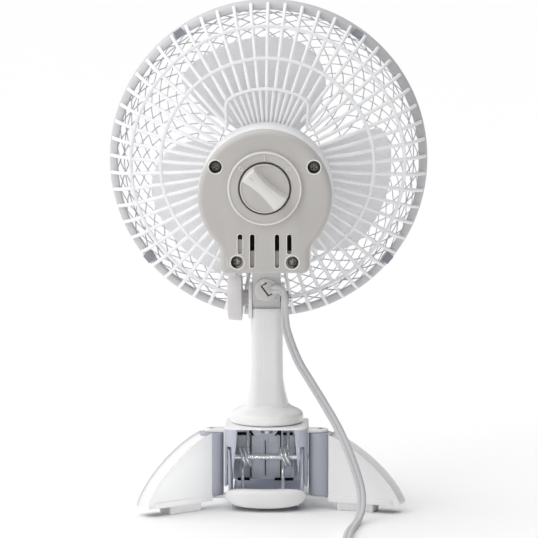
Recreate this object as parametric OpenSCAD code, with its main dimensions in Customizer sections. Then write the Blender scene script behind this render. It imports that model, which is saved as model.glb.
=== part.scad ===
// Six-inch clip-on desk fan. Millimetres, +Z up, the table is z = 0.
// The post's swivel axis is X = Y = 0 and air is blown towards +Y.

/* [Head] */
// Height of the blade's axis above the table
axis_z = 209.5; // [208:0.5:214]
// Radius of the grille over its rim
rim_r = 98.5; // [97:0.1:100]
// Radius swept by the blade tips
blade_r = 76.2; // [66:0.1:78]
// Number of blades
blade_count = 3; // [2:1:5]
// Number of ribs in the rear grille
rear_ribs = 57; // [36:1:60]
// Number of ribs in the front grille
front_ribs = 60; // [36:1:64]
// Radius of the round part of the motor housing
housing_r = 40.5; // [40:0.5:43]
// Wall thickness of the plastic housings
wall = 2.2; // [1.8:0.1:2.4]

/* [Tilt joint] */
// Height of the tilt bolt above the table
pivot_z = 128; // [127:0.5:129]
// Radius of the tilt lock knob
lock_r = 14.2; // [12:0.1:14.6]
// Radius of the tilt bolt
bolt_r = 2.5; // [2:0.25:3]

/* [Post] */
// Width of the post across its flats
post_w = 19.6; // [18:0.1:20]
// Radius of the swivel foot
foot_r = 22.5; // [21:0.5:24]

/* [Clip] */
// Outside width of the clip's box
box_w = 51; // [50:0.5:52]
// Height of the box's roof above the table
roof_z = 51; // [50:0.5:52]
// Length of a stabiliser leg from its hinge to its tip
leg_len = 52; // [46:1:56]
// Outward sweep of the left leg towards the rear, from sideways
left_sweep = 39; // [14:1:42]
// Outward sweep of the right leg towards the rear, from sideways
right_sweep = 18; // [8:1:20]

/* [Cord] */
// Width of the flat twin cord
cord_w = 5.5; // [5:0.25:6]

/* [Hidden] */

$fn = 64;
eps = 0.01;
fit = 0.05;              // radial clearance of a running fit
gap = 0.3;               // clearance between parts that move past each other

// head, from the rear cover's face to the front of the grille
cover_y = -48;           // flat rear face of the cover
split_y = -38;           // joint between the cover and the motor housing
plate_y = 0;             // rear face of the grille's centre plate
circle_z = axis_z - 13.5;    // centre of the housing's round part
dial_z = axis_z - 7.8;       // centre of the speed dial
block_w = 54;            // width of the housing's lower block
block_z = axis_z - 59.9;     // bottom of the lower block
neck_w = 17;             // width of the neck between the fork's cheeks
neck_rear_y = -13.5;
bushing_z = pivot_z + 6.9;    // centre of the cord bushing
lug_r = 9;               // round end of the neck about the tilt bolt
screw_at = [[-29.7, axis_z + 5], [29.7, axis_z + 5],
            [-16.6, axis_z - 52.9], [16.6, axis_z - 52.9]];
recess_r = 4;            // recess over a cover screw
screw_seat_y = cover_y + 5;  // bottom of that recess
dial_r = 22.4;
knob_r = 15;
knob_gap_r = 15.9;
knob_y = -60;            // end of the speed knob's grip
off_angle = -48;         // grip's direction when the fan is off, from upright

// grilles: points of the rib's outer line, as [radius, y]
rear_line = [[45, 0], [65.5, 8], [84.3, 17], [92.5, 24], [rim_r - 2, 32]];
front_line = [[22, 57.4], [60, 56], [84, 53], [92, 50], [rim_r - 2, 45.5]];
rib_w = 1.8;
rib_t = 2.2;             // depth of a rib along the axis
rim_y = [32, 43];        // rear grille's rim
front_rim_y = [43, 50];  // front grille's rim
rim_t = 4;               // radial thickness of both rims
rib_start = 36;          // ribs start here, hidden by the housing
vent_r = [31, 46];       // reach of the vent in the centre plate
vent_w = 51;             // outside width of the vent's frame
vent_pitch = 5.1;        // turn from one bar of the vent to the next
front_swirl = 20;        // distance of a front rib's line from the axis
front_ring_r = [34, 46, 58, 68, 78, 86];
badge_r = 24;
badge_y = [57, 60];

// motor
core_y = [-24, -8];
core_w = 44;
core_z = [axis_z - 31.5, axis_z + 17.5];
rotor_r = 10.6;
shaft_r = 2.5;
bearing_r = 5;
bracket_t = 4;
hub_y = [17, 38];
hub_r = 22;
blade_y = [20, 42];      // depth that the blades sweep

// post and clip
fork_in = neck_w / 2 + 0.3;
fork_out = 11;
fork_r = 10;
wall_top_z = pivot_z - 5.5;
flare_z = [64, 76];
foot_z = roof_z + gap;
pivot_boss_r = 6;
roof_t = 3;
box_y = [-26, 10.4];
jaw_w = 44;
pin_y = -5;
pin_z = 29.5;
pin_r = 2;
tip_y = 60;
hinge_x = 33.5;
hinge_y = -14;
ear_r = 4.6;             // ears above and below each hinge barrel
ear_t = 2;
barrel_r = 7.4;
barrel_z = [8.4, roof_z - 4];
leg_pin_r = 1.75;
leg_t = 12;
leg_curve = 1.4;         // exponent of the leg's outline
pad_h = 5;
pad_u = [12, 36];        // rubber pad's reach along the leg

// cord
cord_r = 1.9;            // plain round stand-in for the flat cord
cord_join = [15.6, -18, 101.4];
upper_route = [
    [4, -16.4, 135.2], [7.6, -19.6, 136.2], [10.4, -21.1, 134.4], [11.6, -21.1, 130.6],
    [11.6, -20.3, 125.5], [11.5, -19.4, 119.5], [12.1, -18.8, 113], [13.7, -18.3, 107], cord_join];
lower_route = [
    [16.8, -18, 98.2], [20.6, -19.5, 90], [27, -22, 80], [35.5, -27, 67], [44, -34, 53.5],
    [50.5, -41, 40.5], [55.5, -47, 28], [58.5, -52, 18], [59, -58, 9], [57.5, -66, 3.5],
    [55, -78, 2], [52.5, -96, 2], [51, -118, 2], [50, -142, 2], [49, -162, 2],
    [49, -180, 2], [50, -194, 2], [51, -206, 3]];
coil_at = [20, -210];
coil_mean_r = 30;
coil_half_w = 6;
coil_h = 12;
plug_at = [-4, -243, 6];

function mix(a, b, t) = a + (b - a) * t;
// point of a smooth curve through p1 and p2, for t from 0 to 1
function curve(p0, p1, p2, p3, t) =
    0.5 * (2 * p1 + (p2 - p0) * t + (2 * p0 - 5 * p1 + 4 * p2 - p3) * t * t
           + (3 * p1 - p0 - 3 * p2 + p3) * t * t * t);
function at(route, i) = route[max(0, min(len(route) - 1, i))];
// the route with extra points, steps to each span
function smooth(route, steps) = concat(
    [for (i = [0 : len(route) - 2]) for (k = [0 : steps - 1])
        curve(at(route, i - 1), at(route, i), at(route, i + 1), at(route, i + 2), k / steps)],
    [route[len(route) - 1]]);
function unit(v) = v / norm(v);

// round tube along points, eight-sided
module tube(points, r) {
    sides = 8;
    aside = [0.6, 0.8, 0];
    n = len(points);
    rings = [for (i = [0 : n - 1])
        let (t = unit(at(points, i + 1) - at(points, i - 1)),
             u = unit(cross(t, aside)),
             v = cross(t, u))
        for (k = [0 : sides - 1])
            points[i] + r * (u * cos(k * 360 / sides) + v * sin(k * 360 / sides))];
    walls = [for (i = [0 : n - 2]) for (k = [0 : sides - 1])
        let (a = i * sides + k, b = i * sides + (k + 1) % sides)
        [a, b, b + sides, a + sides]];
    start = [[for (k = [sides - 1 : -1 : 0]) k]];
    end = [[for (k = [0 : sides - 1]) (n - 1) * sides + k]];
    polyhedron(rings, concat(start, walls, end), convexity = 6);
}

// disc or ring about an axis along Y
module ring_y(y0, y1, r_out, r_in = 0, z = axis_z, x = 0) {
    translate([x, y1, z]) rotate([90, 0, 0]) difference() {
        cylinder(r = r_out, h = y1 - y0);
        if (r_in > 0) translate([0, 0, -1]) cylinder(r = r_in, h = y1 - y0 + 2);
    }
}

// cylinder about an axis along X
module rod_x(x0, x1, r, y, z) {
    translate([x0, y, z]) rotate([0, 90, 0]) cylinder(r = r, h = x1 - x0);
}

// box between two corners
module box(a, b) {
    translate(a) cube(b - a);
}

// plate of outline [y, z] points between two X values
module side_plate(x0, x1, outline) {
    translate([x0, 0, 0]) rotate([90, 0, 90]) linear_extrude(x1 - x0) polygon(outline);
}

// rectangle with round corners, from exact pieces
module round_square(w, d, r) {
    square([w - 2 * r, d], center = true);
    square([w, d - 2 * r], center = true);
    for (x = [-1, 1]) for (y = [-1, 1])
        translate([x * (w / 2 - r), y * (d / 2 - r)]) circle(r);
}

// ---------- clip ----------

jaw_side = [[-22, 5], [-6, 5], [-6, 22], [14, 22], [14, 27], [36, 27], [44, 22], [tip_y, 22],
            [tip_y, 27], [40, 39], [12, roof_z], [-26, roof_z], [-26, 21], [-22, 14]];

module clip_housing() {
    half = box_w / 2;
    color("white") difference() {
        union() {
            for (s = [-1, 1])
                side_plate(s > 0 ? half - wall : -half, s > 0 ? half : -half + wall, jaw_side);
            box([-half, box_y[0], roof_z - roof_t], [half, 12, roof_z]);
            // sloping top of the upper jaw
            side_plate(-half + eps, half - eps,
                       [[11, roof_z], [40, 39], [tip_y, 27], [tip_y, 22], [44, 22], [36, 27],
                        [14, 27], [14, 29.4], [36.5, 29.4], [44.5, 24.4], [57.5, 24.4],
                        [57.5, 25.8], [39, 36.6], [11, roof_z - roof_t]]);
            // partition behind the springs, with its stiffening ribs
            box([-half + eps, 8, 15], [half - eps, box_y[1], roof_z - roof_t + eps]);
            for (x = [-13, 0, 13]) box([x - 0.8, 6.4, 16], [x + 0.8, 8 + eps, 42]);
            // ears that hold the leg pins
            for (s = [-1, 1]) {
                for (z = [barrel_z[0] - 0.2 - ear_t, barrel_z[1] + 0.2]) {
                    translate([s * hinge_x, hinge_y, z]) cylinder(r = ear_r, h = ear_t);
                    box([min(s * hinge_x, s * (half - 1)), hinge_y - ear_r, z],
                        [max(s * hinge_x, s * (half - 1)), hinge_y + ear_r, z + ear_t]);
                }
            }
        }
        rod_x(-half - 1, half + 1, pin_r + 0.02, pin_y, pin_z);
        translate([0, 0, roof_z - roof_t - 1]) cylinder(r = pivot_boss_r + fit, h = roof_t + 2);
        for (s = [-1, 1])
            translate([s * hinge_x, hinge_y, 0]) cylinder(r = leg_pin_r + 0.02, h = roof_z + 1);
    }
}

module clip_pin() {
    color("silver") rod_x(-box_w / 2 - 0.6, box_w / 2 + 0.6, pin_r, pin_y, pin_z);
}

// torsion spring: close turns round the pin, one arm up and one arm down
module torsion_spring(x) {
    wire = 0.75;
    turn_r = 4.8;
    color("gainsboro") translate([x, pin_y, pin_z]) union() {
        for (k = [-1.5 : 1 : 1.5]) translate([k * 1.45, 0, 0]) rotate([0, 90, 0])
            rotate_extrude() translate([turn_r, 0]) circle(wire);
        translate([-2.2, turn_r, 0]) cylinder(r = wire, h = 13);
        translate([2.2, turn_r, -20]) cylinder(r = wire, h = 20);
    }
}

module clip_spring_left() { torsion_spring(-12.5); }
module clip_spring_right() { torsion_spring(12.5); }

module upper_grip_pad() {
    color("dimgray") difference() {
        box([-jaw_w / 2, 45, 18.4], [jaw_w / 2, 59, 22]);
        for (k = [0 : 3]) box([-jaw_w / 2 - 1, 47 + k * 3, 18], [jaw_w / 2 + 1, 48.2 + k * 3, 19]);
    }
}

module leg_pins() {
    color("silver") for (s = [-1, 1])
        translate([s * hinge_x, hinge_y, barrel_z[0] - 0.2 - ear_t])
            cylinder(r = leg_pin_r, h = barrel_z[1] - barrel_z[0] + 0.4 + 2 * ear_t);
}

module lower_jaw() {
    half = jaw_w / 2;
    inner = box_w / 2 - wall - gap;
    side = [[-26, 3], [tip_y, 3], [tip_y, 14.5], [44, 14.5], [37, 9.5], [12, 9.5], [4, 12], [-26, 12]];
    color("white") difference() {
        union() {
            for (s = [-1, 1])
                side_plate(s > 0 ? half - wall : -half, s > 0 ? half : -half + wall, side);
            box([-half, -27, 3], [half, tip_y, 5.4]);
            // floor of the mouth and the seat of the grip pad
            side_plate(-half + eps, half - eps,
                       [[10, 7.2], [37, 7.2], [44, 12.1], [tip_y - eps, 12.1], [tip_y - eps, 14.5],
                        [44, 14.5], [37, 9.5], [10, 9.5]]);
            // squeeze lip at the rear, bowed in plan
            intersection() {
                translate([0, -27, 5.4]) hull() {
                    for (x = [-19.4, 19.4]) translate([x, 0, 0]) {
                        translate([0, 0, 3.5]) sphere(r = 6, $fn = 32);
                        translate([0, 0, 1]) sphere(r = 5.4, $fn = 32);
                    }
                    translate([0, -3.2, 3.2]) rotate([0, 90, 0])
                        cylinder(r = 4.6, h = 24, center = true, $fn = 32);
                }
                box([-30, -40, 4.4], [30, -27, 13.6]);
            }
            for (s = [-1, 1]) {
                x0 = s > 0 ? inner - 3 : -inner;
                rod_x(x0, x0 + 3, 6, pin_y, pin_z);
                side_plate(x0, x0 + 3, [[pin_y - 6, pin_z], [pin_y + 6, pin_z], [6, 4], [-22, 4]]);
            }
        }
        rod_x(-half - 5, half + 5, pin_r + fit, pin_y, pin_z);
    }
}

module lower_grip_pad() {
    color("dimgray") difference() {
        box([-jaw_w / 2, 45, 14.5], [jaw_w / 2, 59, 18.1]);
        for (k = [0 : 3]) box([-jaw_w / 2 - 1, 48.4 + k * 3, 17.4], [jaw_w / 2 + 1, 49.6 + k * 3, 19]);
    }
}

module front_foot() {
    color("dimgray") for (s = [-1, 1]) translate([s * 15, 50, 0]) cylinder(r = 5, h = 3);
}

// ---------- stabiliser legs ----------

function leg_outline(len, z0, z1, steps) = concat([[0, z0]], [for (i = [steps : -1 : 0])
    let (u = len * i / steps)
    [u, z0 + (z1 - z0) * pow(max(0, 1 - pow(i / steps, leg_curve)), 1 / leg_curve)]]);

// a leg that points along +X from its hinge at the origin
module leg_shape() {
    difference() {
        union() {
            translate([0, 0, barrel_z[0]]) cylinder(r = barrel_r, h = barrel_z[1] - barrel_z[0]);
            translate([0, leg_t / 2, 0]) rotate([90, 0, 0]) linear_extrude(leg_t)
                polygon(leg_outline(leg_len, pad_h, barrel_z[1], 24));
            box([barrel_r, -leg_t / 2 - 0.8, pad_h], [leg_len - 1, leg_t / 2 + 0.8, pad_h + 3.6]);
        }
        // hollow, open below
        intersection() {
            translate([0, leg_t / 2 - wall, 0]) rotate([90, 0, 0]) linear_extrude(leg_t - 2 * wall)
                polygon(leg_outline(leg_len - 3.5, pad_h - 1, barrel_z[1] - 3, 24));
            box([barrel_r + 1.5, -leg_t, 0], [leg_len, leg_t, barrel_z[1]]);
        }
        cylinder(r = leg_pin_r + fit, h = 100);
        // room for the housing's lower ear
        box([-barrel_r, -2 * leg_t, 0], [barrel_r + 0.5, 2 * leg_t, barrel_z[0]]);
    }
}

module leg_pad_shape() {
    box([pad_u[0], -leg_t / 2, 0], [pad_u[1], leg_t / 2, pad_h]);
}

module on_left_hinge() {
    translate([-hinge_x, hinge_y, 0]) rotate([0, 0, 180 + left_sweep]) children();
}

module on_right_hinge() {
    translate([hinge_x, hinge_y, 0]) rotate([0, 0, -right_sweep]) children();
}

module leg_left() { color("white") on_left_hinge() leg_shape(); }
module leg_right() { color("white") on_right_hinge() leg_shape(); }
module leg_pad_left() { color("whitesmoke") on_left_hinge() leg_pad_shape(); }
module leg_pad_right() { color("whitesmoke") on_right_hinge() leg_pad_shape(); }

// ---------- post ----------

module post() {
    color("white") difference() {
        union() {
            translate([0, 0, flare_z[1]]) linear_extrude(wall_top_z - flare_z[1])
                round_square(post_w, post_w, 5);
            hull() {
                translate([0, 0, flare_z[1]]) linear_extrude(0.1) round_square(post_w, post_w, 5, $fn = 32);
                translate([0, 0, flare_z[0]]) linear_extrude(0.1) round_square(26, 26, 8, $fn = 32);
            }
            // swivel foot
            rotate_extrude() polygon([[0, foot_z], [foot_r, foot_z], [foot_r, foot_z + 4.5],
                [foot_r - 1, foot_z + 6], [foot_r - 4, foot_z + 7.5], [15, foot_z + 10.5],
                [12.8, flare_z[0] + 0.1], [0, flare_z[0] + 0.1]]);
            // fork cheeks
            for (s = [-1, 1]) {
                x0 = s > 0 ? fork_in : -fork_out;
                rod_x(x0, x0 + fork_out - fork_in, fork_r, 0, pivot_z);
                box([x0, -fork_r, wall_top_z - 6], [x0 + fork_out - fork_in, fork_r, pivot_z]);
            }
        }
        rod_x(-fork_in, fork_in, lug_r + gap, 0, pivot_z);
        rod_x(-fork_out - 1, fork_out + 1, bolt_r + fit, 0, pivot_z);
        // pocket for the captive nut
        rod_x(fork_out - 1.2, fork_out + 1, 4.3, 0, pivot_z, $fn = 6);
        // hollow column and foot
        translate([0, 0, foot_z + 13]) cylinder(r = 6.5, h = 44);
        difference() {
            translate([0, 0, foot_z - 1]) cylinder(r = foot_r - 2.4, h = 5.5);
            translate([0, 0, foot_z - 2]) cylinder(r = pivot_boss_r + 1, h = 8);
        }
        translate([0, 0, foot_z - 2]) cylinder(r = 1.8, h = 14);
    }
    color("white") difference() {
        translate([0, 0, roof_z - roof_t - gap]) cylinder(r = pivot_boss_r, h = roof_t + 2 * gap + eps);
        translate([0, 0, roof_z - roof_t - 2]) cylinder(r = 1.8, h = 14);
    }
}

module swivel_screw() {
    color("silver") union() {
        translate([0, 0, roof_z - roof_t - gap - 1.4]) cylinder(r = 1.8, h = 14);
        translate([0, 0, roof_z - roof_t - gap - 3.9]) cylinder(r = 3.6, h = 2.5);
    }
}

module swivel_washer() {
    color("silver") translate([0, 0, roof_z - roof_t - gap - 1.4]) difference() {
        cylinder(r = 7.4, h = 1.4);
        translate([0, 0, -1]) cylinder(r = 1.8, h = 4);
    }
}

module tilt_nut() {
    color("dimgray") difference() {
        rod_x(fork_out - 1.2, fork_out + 2.4, 4.2, 0, pivot_z, $fn = 6);
        rod_x(fork_out - 2, fork_out + 4, bolt_r + fit, 0, pivot_z);
    }
}

module tilt_lock_knob() {
    color("white") difference() {
        union() {
            translate([-24, 0, pivot_z]) rotate([0, 90, 0]) cylinder(r1 = lock_r - 0.8, r2 = lock_r, h = 9);
            rod_x(-15 - eps, -fork_out - gap, 5, 0, pivot_z);
        }
        rod_x(-22, 0, bolt_r, 0, pivot_z);
    }
}

module tilt_bolt() {
    color("silver") rod_x(-22, fork_out + 4, bolt_r, 0, pivot_z);
}

// ---------- motor housing ----------

// outline of the housing seen along Y, grown by d
module housing_outline(d = 0) {
    r = housing_r + d;
    half = block_w / 2 + d;
    translate([0, circle_z]) circle(r, $fn = 96);
    corner = 4;
    translate([-half, block_z - d + corner]) square([2 * half, circle_z - 20 - block_z]);
    translate([-half + corner, block_z - d]) square([2 * half - 2 * corner, 30]);
    for (s = [-1, 1]) translate([s * (half - corner), block_z - d + corner]) circle(corner);
}

module housing_slice(y0, y1, d = 0) {
    translate([0, y1, 0]) rotate([90, 0, 0]) linear_extrude(y1 - y0) housing_outline(d);
}

module motor_housing() {
    color("white") difference() {
        union() {
            difference() {
                housing_slice(split_y, plate_y - eps);
                housing_slice(split_y - 1, plate_y - wall, -wall);
            }
            // screw posts for the cover
            for (p = screw_at) ring_y(split_y, plate_y - 1, recess_r, 0, p[1], p[0]);
            // neck down to the tilt bolt
            box([-neck_w / 2, neck_rear_y, pivot_z + 0.5], [neck_w / 2, 3, block_z + 1]);
            rod_x(-neck_w / 2, neck_w / 2, lug_r, 0, pivot_z);
            // posts that carry the motor's front bracket
            for (s = [-1, 1]) ring_y(-4, plate_y - 1, 3.5, 0, axis_z, s * 17);
        }
        for (p = screw_at) ring_y(split_y - 1, split_y + 12, 1.3, 0, p[1], p[0]);
        ring_y(-5, plate_y + 1, 8, 0, axis_z);
        rod_x(-20, 20, bolt_r + fit, 0, pivot_z);
        for (a = [90, 210, 330]) ring_y(-8, plate_y + 1, 1.2, 0, axis_z + 23.5 * sin(a), 23.5 * cos(a));
        // cord bushing's seat and the way in for the cord
        ring_y(neck_rear_y - 1, neck_rear_y + 3, 5, 0, bushing_z);
        translate([0, -8, pivot_z + 5]) cylinder(r = 3.4, h = block_z - pivot_z);
        ring_y(-12, -8, 3.2, 0, bushing_z);
    }
}

slot_list = [[-14.9, 12.3], [-7.5, 20.7], [7.5, 20.7], [14.9, 12.3]];
slot_top = axis_z - 35.8;

module rear_cover() {
    color([0.72, 0.71, 0.70]) difference() {
        union() {
            difference() {
                union() {
                    housing_slice(cover_y + 4, split_y - eps);
                    // rounded rear edge in steps of a quarter circle
                    for (k = [0 : 2]) housing_slice(cover_y + 4 * (1 - cos(k * 30 + 15)) * 0.99,
                        cover_y + 4.1, -4 * (1 - sin(k * 30 + 30)) * 0.8);
                    housing_slice(cover_y, cover_y + 4.1, -3.4);
                }
                housing_slice(cover_y + wall, split_y + 1, -wall - 2);
                housing_slice(cover_y + 5, split_y + 1, -wall);
            }
            for (p = screw_at) ring_y(cover_y + 1, split_y - eps, recess_r + 1.4, 0, p[1], p[0]);
            // well that the speed knob sits in
            ring_y(cover_y + 1, -43.4, knob_gap_r + 1.6, 0, dial_z);
        }
        for (p = screw_at) {
            ring_y(cover_y - 1, screw_seat_y, recess_r, 0, p[1], p[0]);
            ring_y(cover_y - 1, split_y + 1, 1.7, 0, p[1], p[0]);
        }
        ring_y(cover_y - 1, -45.4, knob_gap_r, 0, dial_z);
        ring_y(cover_y - 1, -40, 4, 0, dial_z);
        for (s = slot_list) {
            box([s[0] - 1.5, cover_y - 1, slot_top - s[1] + 1.5], [s[0] + 1.5, cover_y + 5, slot_top - 1.5]);
            ring_y(cover_y - 1, cover_y + 5, 1.5, 0, slot_top - 1.5, s[0]);
            ring_y(cover_y - 1, cover_y + 5, 1.5, 0, slot_top - s[1] + 1.5, s[0]);
        }
    }
}

module cover_screws() {
    color([0.25, 0.25, 0.24]) for (p = screw_at) difference() {
        union() {
            ring_y(screw_seat_y - 2.4, screw_seat_y, 3.2, 0, p[1], p[0]);
            ring_y(screw_seat_y - 0.1, split_y + 10, 1.3, 0, p[1], p[0]);
        }
        for (a = [45, 135]) translate([p[0], screw_seat_y - 2, p[1]]) rotate([0, a, 0])
            cube([4, 1.6, 0.8], center = true);
    }
}

module dial_ring() {
    color([0.72, 0.71, 0.70]) union() {
        ring_y(cover_y - 2, cover_y - eps, dial_r, knob_gap_r, dial_z);
        for (a = [-50, 0, 51]) translate([0, cover_y - 2.2, dial_z]) rotate([0, a, 0])
            translate([0, 0, 19.8]) cube([0.7, 0.6, 3], center = true);
    }
}

module speed_switch() {
    color("ivory") difference() {
        union() {
            box([-13, -42.5, dial_z - 12], [13, -32, dial_z + 12]);
            ring_y(-43.3, -42.4, 7, 0, dial_z);
            for (x = [-8, 0, 8]) box([x - 1.5, -36, dial_z - 17], [x + 1.5, -35.2, dial_z - 11]);
        }
        ring_y(-50, -38, 3 + fit, 0, dial_z);
    }
}

module speed_knob() {
    color([0.78, 0.77, 0.75]) union() {
        ring_y(cover_y - 2.6, cover_y + 2.2, knob_r, 0, dial_z);
        ring_y(cover_y + 2, -39, 3, 0, dial_z);
        translate([0, 0, dial_z]) rotate([0, off_angle, 0]) difference() {
            box([-5.4, knob_y, -14], [5.4, cover_y - 2, 14]);
            for (s = [-1, 1]) translate([s * 38, knob_y - 1, 0]) rotate([-90, 0, 0])
                cylinder(r = 34.4, h = 20, $fn = 96);
        }
    }
}

// ---------- motor ----------

module stator_core() {
    color("slategray") difference() {
        box([-core_w / 2, core_y[0], core_z[0]], [core_w / 2, core_y[1], core_z[1]]);
        ring_y(core_y[0] - 1, core_y[1] + 1, rotor_r + 0.4, 0);
        box([-14, core_y[0] - 1, core_z[0] + 8], [14, core_y[1] + 1, axis_z - 14]);
        for (s = [-1, 1]) ring_y(core_y[0] - 1, core_y[1] + 1, 1.7, 0, axis_z, s * 17);
    }
}

module stator_coil() {
    z0 = core_z[0] - 5;
    z1 = axis_z - 15;
    color([0.72, 0.42, 0.2]) difference() {
        box([-12, core_y[0] - 5, z0], [12, core_y[1] + 5, z1]);
        box([-13, core_y[0] - gap, core_z[0] - gap], [13, core_y[1] + gap, core_z[0] + 8 + gap]);
    }
}

module bracket(y0, y1) {
    color("lightgray") difference() {
        union() {
            box([-20, y0, axis_z - 5], [20, y1, axis_z + 5]);
            ring_y(y0, y1, 8.5, 0);
        }
        ring_y(y0 - 1, y1 + 1, bearing_r, 0);
        for (s = [-1, 1]) ring_y(y0 - 1, y1 + 1, 1.7, 0, axis_z, s * 17);
    }
}

module front_bracket() { bracket(core_y[1], core_y[1] + bracket_t - eps); }
module rear_bracket() { bracket(core_y[0] - bracket_t, core_y[0]); }

module bearing(y0, y1) {
    color([0.7, 0.55, 0.3]) ring_y(y0, y1, bearing_r, shaft_r + fit);
}

module front_bearing() { bearing(core_y[1] + 0.4, core_y[1] + bracket_t); }
module rear_bearing() { bearing(core_y[0] - bracket_t, core_y[0] - 0.4); }

module bracket_screws() {
    color("silver") for (s = [-1, 1]) {
        ring_y(core_y[0] - bracket_t - eps, core_y[1] + bracket_t - 0.2, 1.7, 0, axis_z, s * 17);
        ring_y(core_y[0] - bracket_t - 2, core_y[0] - bracket_t, 3, 0, axis_z, s * 17);
    }
}

module rotor_core() {
    color("slategray") ring_y(core_y[0] + 0.2, core_y[1] - 0.2, rotor_r, shaft_r);
}

module motor_shaft() {
    color("silver") ring_y(core_y[0] - bracket_t - 0.6, hub_y[1] + 4, shaft_r, 0);
}

// ---------- grilles ----------

// one rib: a strip between a line of [distance, y] points and the same line moved by t
module rib(line, t, w, offset_x = 0) {
    outline = concat(line, [for (i = [len(line) - 1 : -1 : 0]) line[i] + [0, t]]);
    translate([offset_x - w / 2, 0, 0]) rotate([90, 0, 90]) linear_extrude(w)
        polygon([for (p = outline) [p[1], p[0]]]);
}

// ring of a rectangular section about the blade's axis
module hoop(r, y, t, depth) {
    translate([0, y + depth, axis_z]) rotate([90, 0, 0])
        rotate_extrude($fn = 120) translate([r - t / 2, 0]) square([t, depth]);
}

// outline of the centre plate: the housing's own, and the vent's frame above it
module plate_outline() {
    housing_outline(-1.2);
    intersection() {
        translate([0, axis_z]) circle(vent_r[1] + 2.6);
        translate([-vent_w / 2, axis_z]) square([vent_w, 60]);
    }
}

module rear_grille() {
    pitch = 360 / rear_ribs;
    color("white") union() {
        difference() {
            translate([0, plate_y + 2.5, 0]) rotate([90, 0, 0]) linear_extrude(2.5) plate_outline();
            ring_y(plate_y - 1, plate_y + 4, 12);
            // vent above the motor, crossed by bars of its own
            intersection() {
                for (k = [-6.5 : 6.5]) translate([0, 0, axis_z]) rotate([0, k * vent_pitch, 0])
                    box([-0.6, plate_y - 1, vent_r[0]], [0.6, plate_y + 4, vent_r[1]]);
                box([-vent_w / 2 + 2, -5, axis_z], [vent_w / 2 - 2, 5, axis_z + 60]);
            }
            for (a = [90, 210, 330])
                ring_y(plate_y - 1, plate_y + 4, 1.7, 0, axis_z + 23.5 * sin(a), 23.5 * cos(a));
        }
        for (k = [0 : rear_ribs - 1]) {
            // the ribs over the vent start at its frame
            start = abs((k * pitch + 180) % 360 - 180) < 33 ? vent_r[1] + 1 : rib_start;
            translate([0, 0, axis_z]) rotate([0, k * pitch, 0])
                rib(concat([[start, 0], [vent_r[1] + 1.5, 0.6]], [for (i = [1 : 4]) rear_line[i]]),
                    rib_t, rib_w);
        }
        for (p = [rear_line[1], rear_line[2]]) hoop(p[0], p[1] + 0.3, 1.6, 1.8);
        hoop(rim_r - rim_t / 2, rim_y[0], rim_t, rim_y[1] - rim_y[0] - eps);
    }
}

module grille_screws() {
    color("silver") for (a = [90, 210, 330]) {
        ring_y(-7, plate_y + 2.6, 1.2, 0, axis_z + 23.5 * sin(a), 23.5 * cos(a));
        ring_y(plate_y + 2.5 + eps, plate_y + 4.3, 3, 0, axis_z + 23.5 * sin(a), 23.5 * cos(a));
    }
}

module front_grille() {
    // distance along a rib's own line for a point at radius r
    function along(r) = sqrt(r * r - front_swirl * front_swirl);
    line = [for (p = front_line) [along(max(p[0], front_swirl + 2.5)), p[1]]];
    color("white") union() {
        ring_y(front_line[0][1] - 2.2, front_line[0][1] - eps, badge_r + 1, 0);
        for (k = [0 : front_ribs - 1]) translate([0, 0, axis_z]) rotate([0, k * 360 / front_ribs, 0])
            rib(line, -2, 1.5, front_swirl);
        for (r = front_ring_r)
            hoop(r, lookup(r, front_line) - 2.2, 1.3, 1.5);
        hoop(rim_r - rim_t / 2, front_rim_y[0], rim_t, front_rim_y[1] - front_rim_y[0]);
    }
}

module grille_badge() {
    color("whitesmoke") ring_y(badge_y[0] + 0.4, badge_y[1], badge_r, 0);
}

// spring clips that hold the two rims together
module rim_clips() {
    color([0.5, 0.5, 0.52]) for (a = [-35, 35, 129.5, -129.5])
        translate([0, 0, axis_z]) rotate([0, a, 0]) difference() {
            box([-3, rim_y[0] - 0.8, rim_r - rim_t - 1], [3, rim_y[1] + 2, rim_r - 0.2]);
            box([-4, rim_y[0] - eps, rim_r - rim_t - 0.1], [4, rim_y[1] + 3, rim_r + 2]);
        }
}

// ---------- blade ----------

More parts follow.
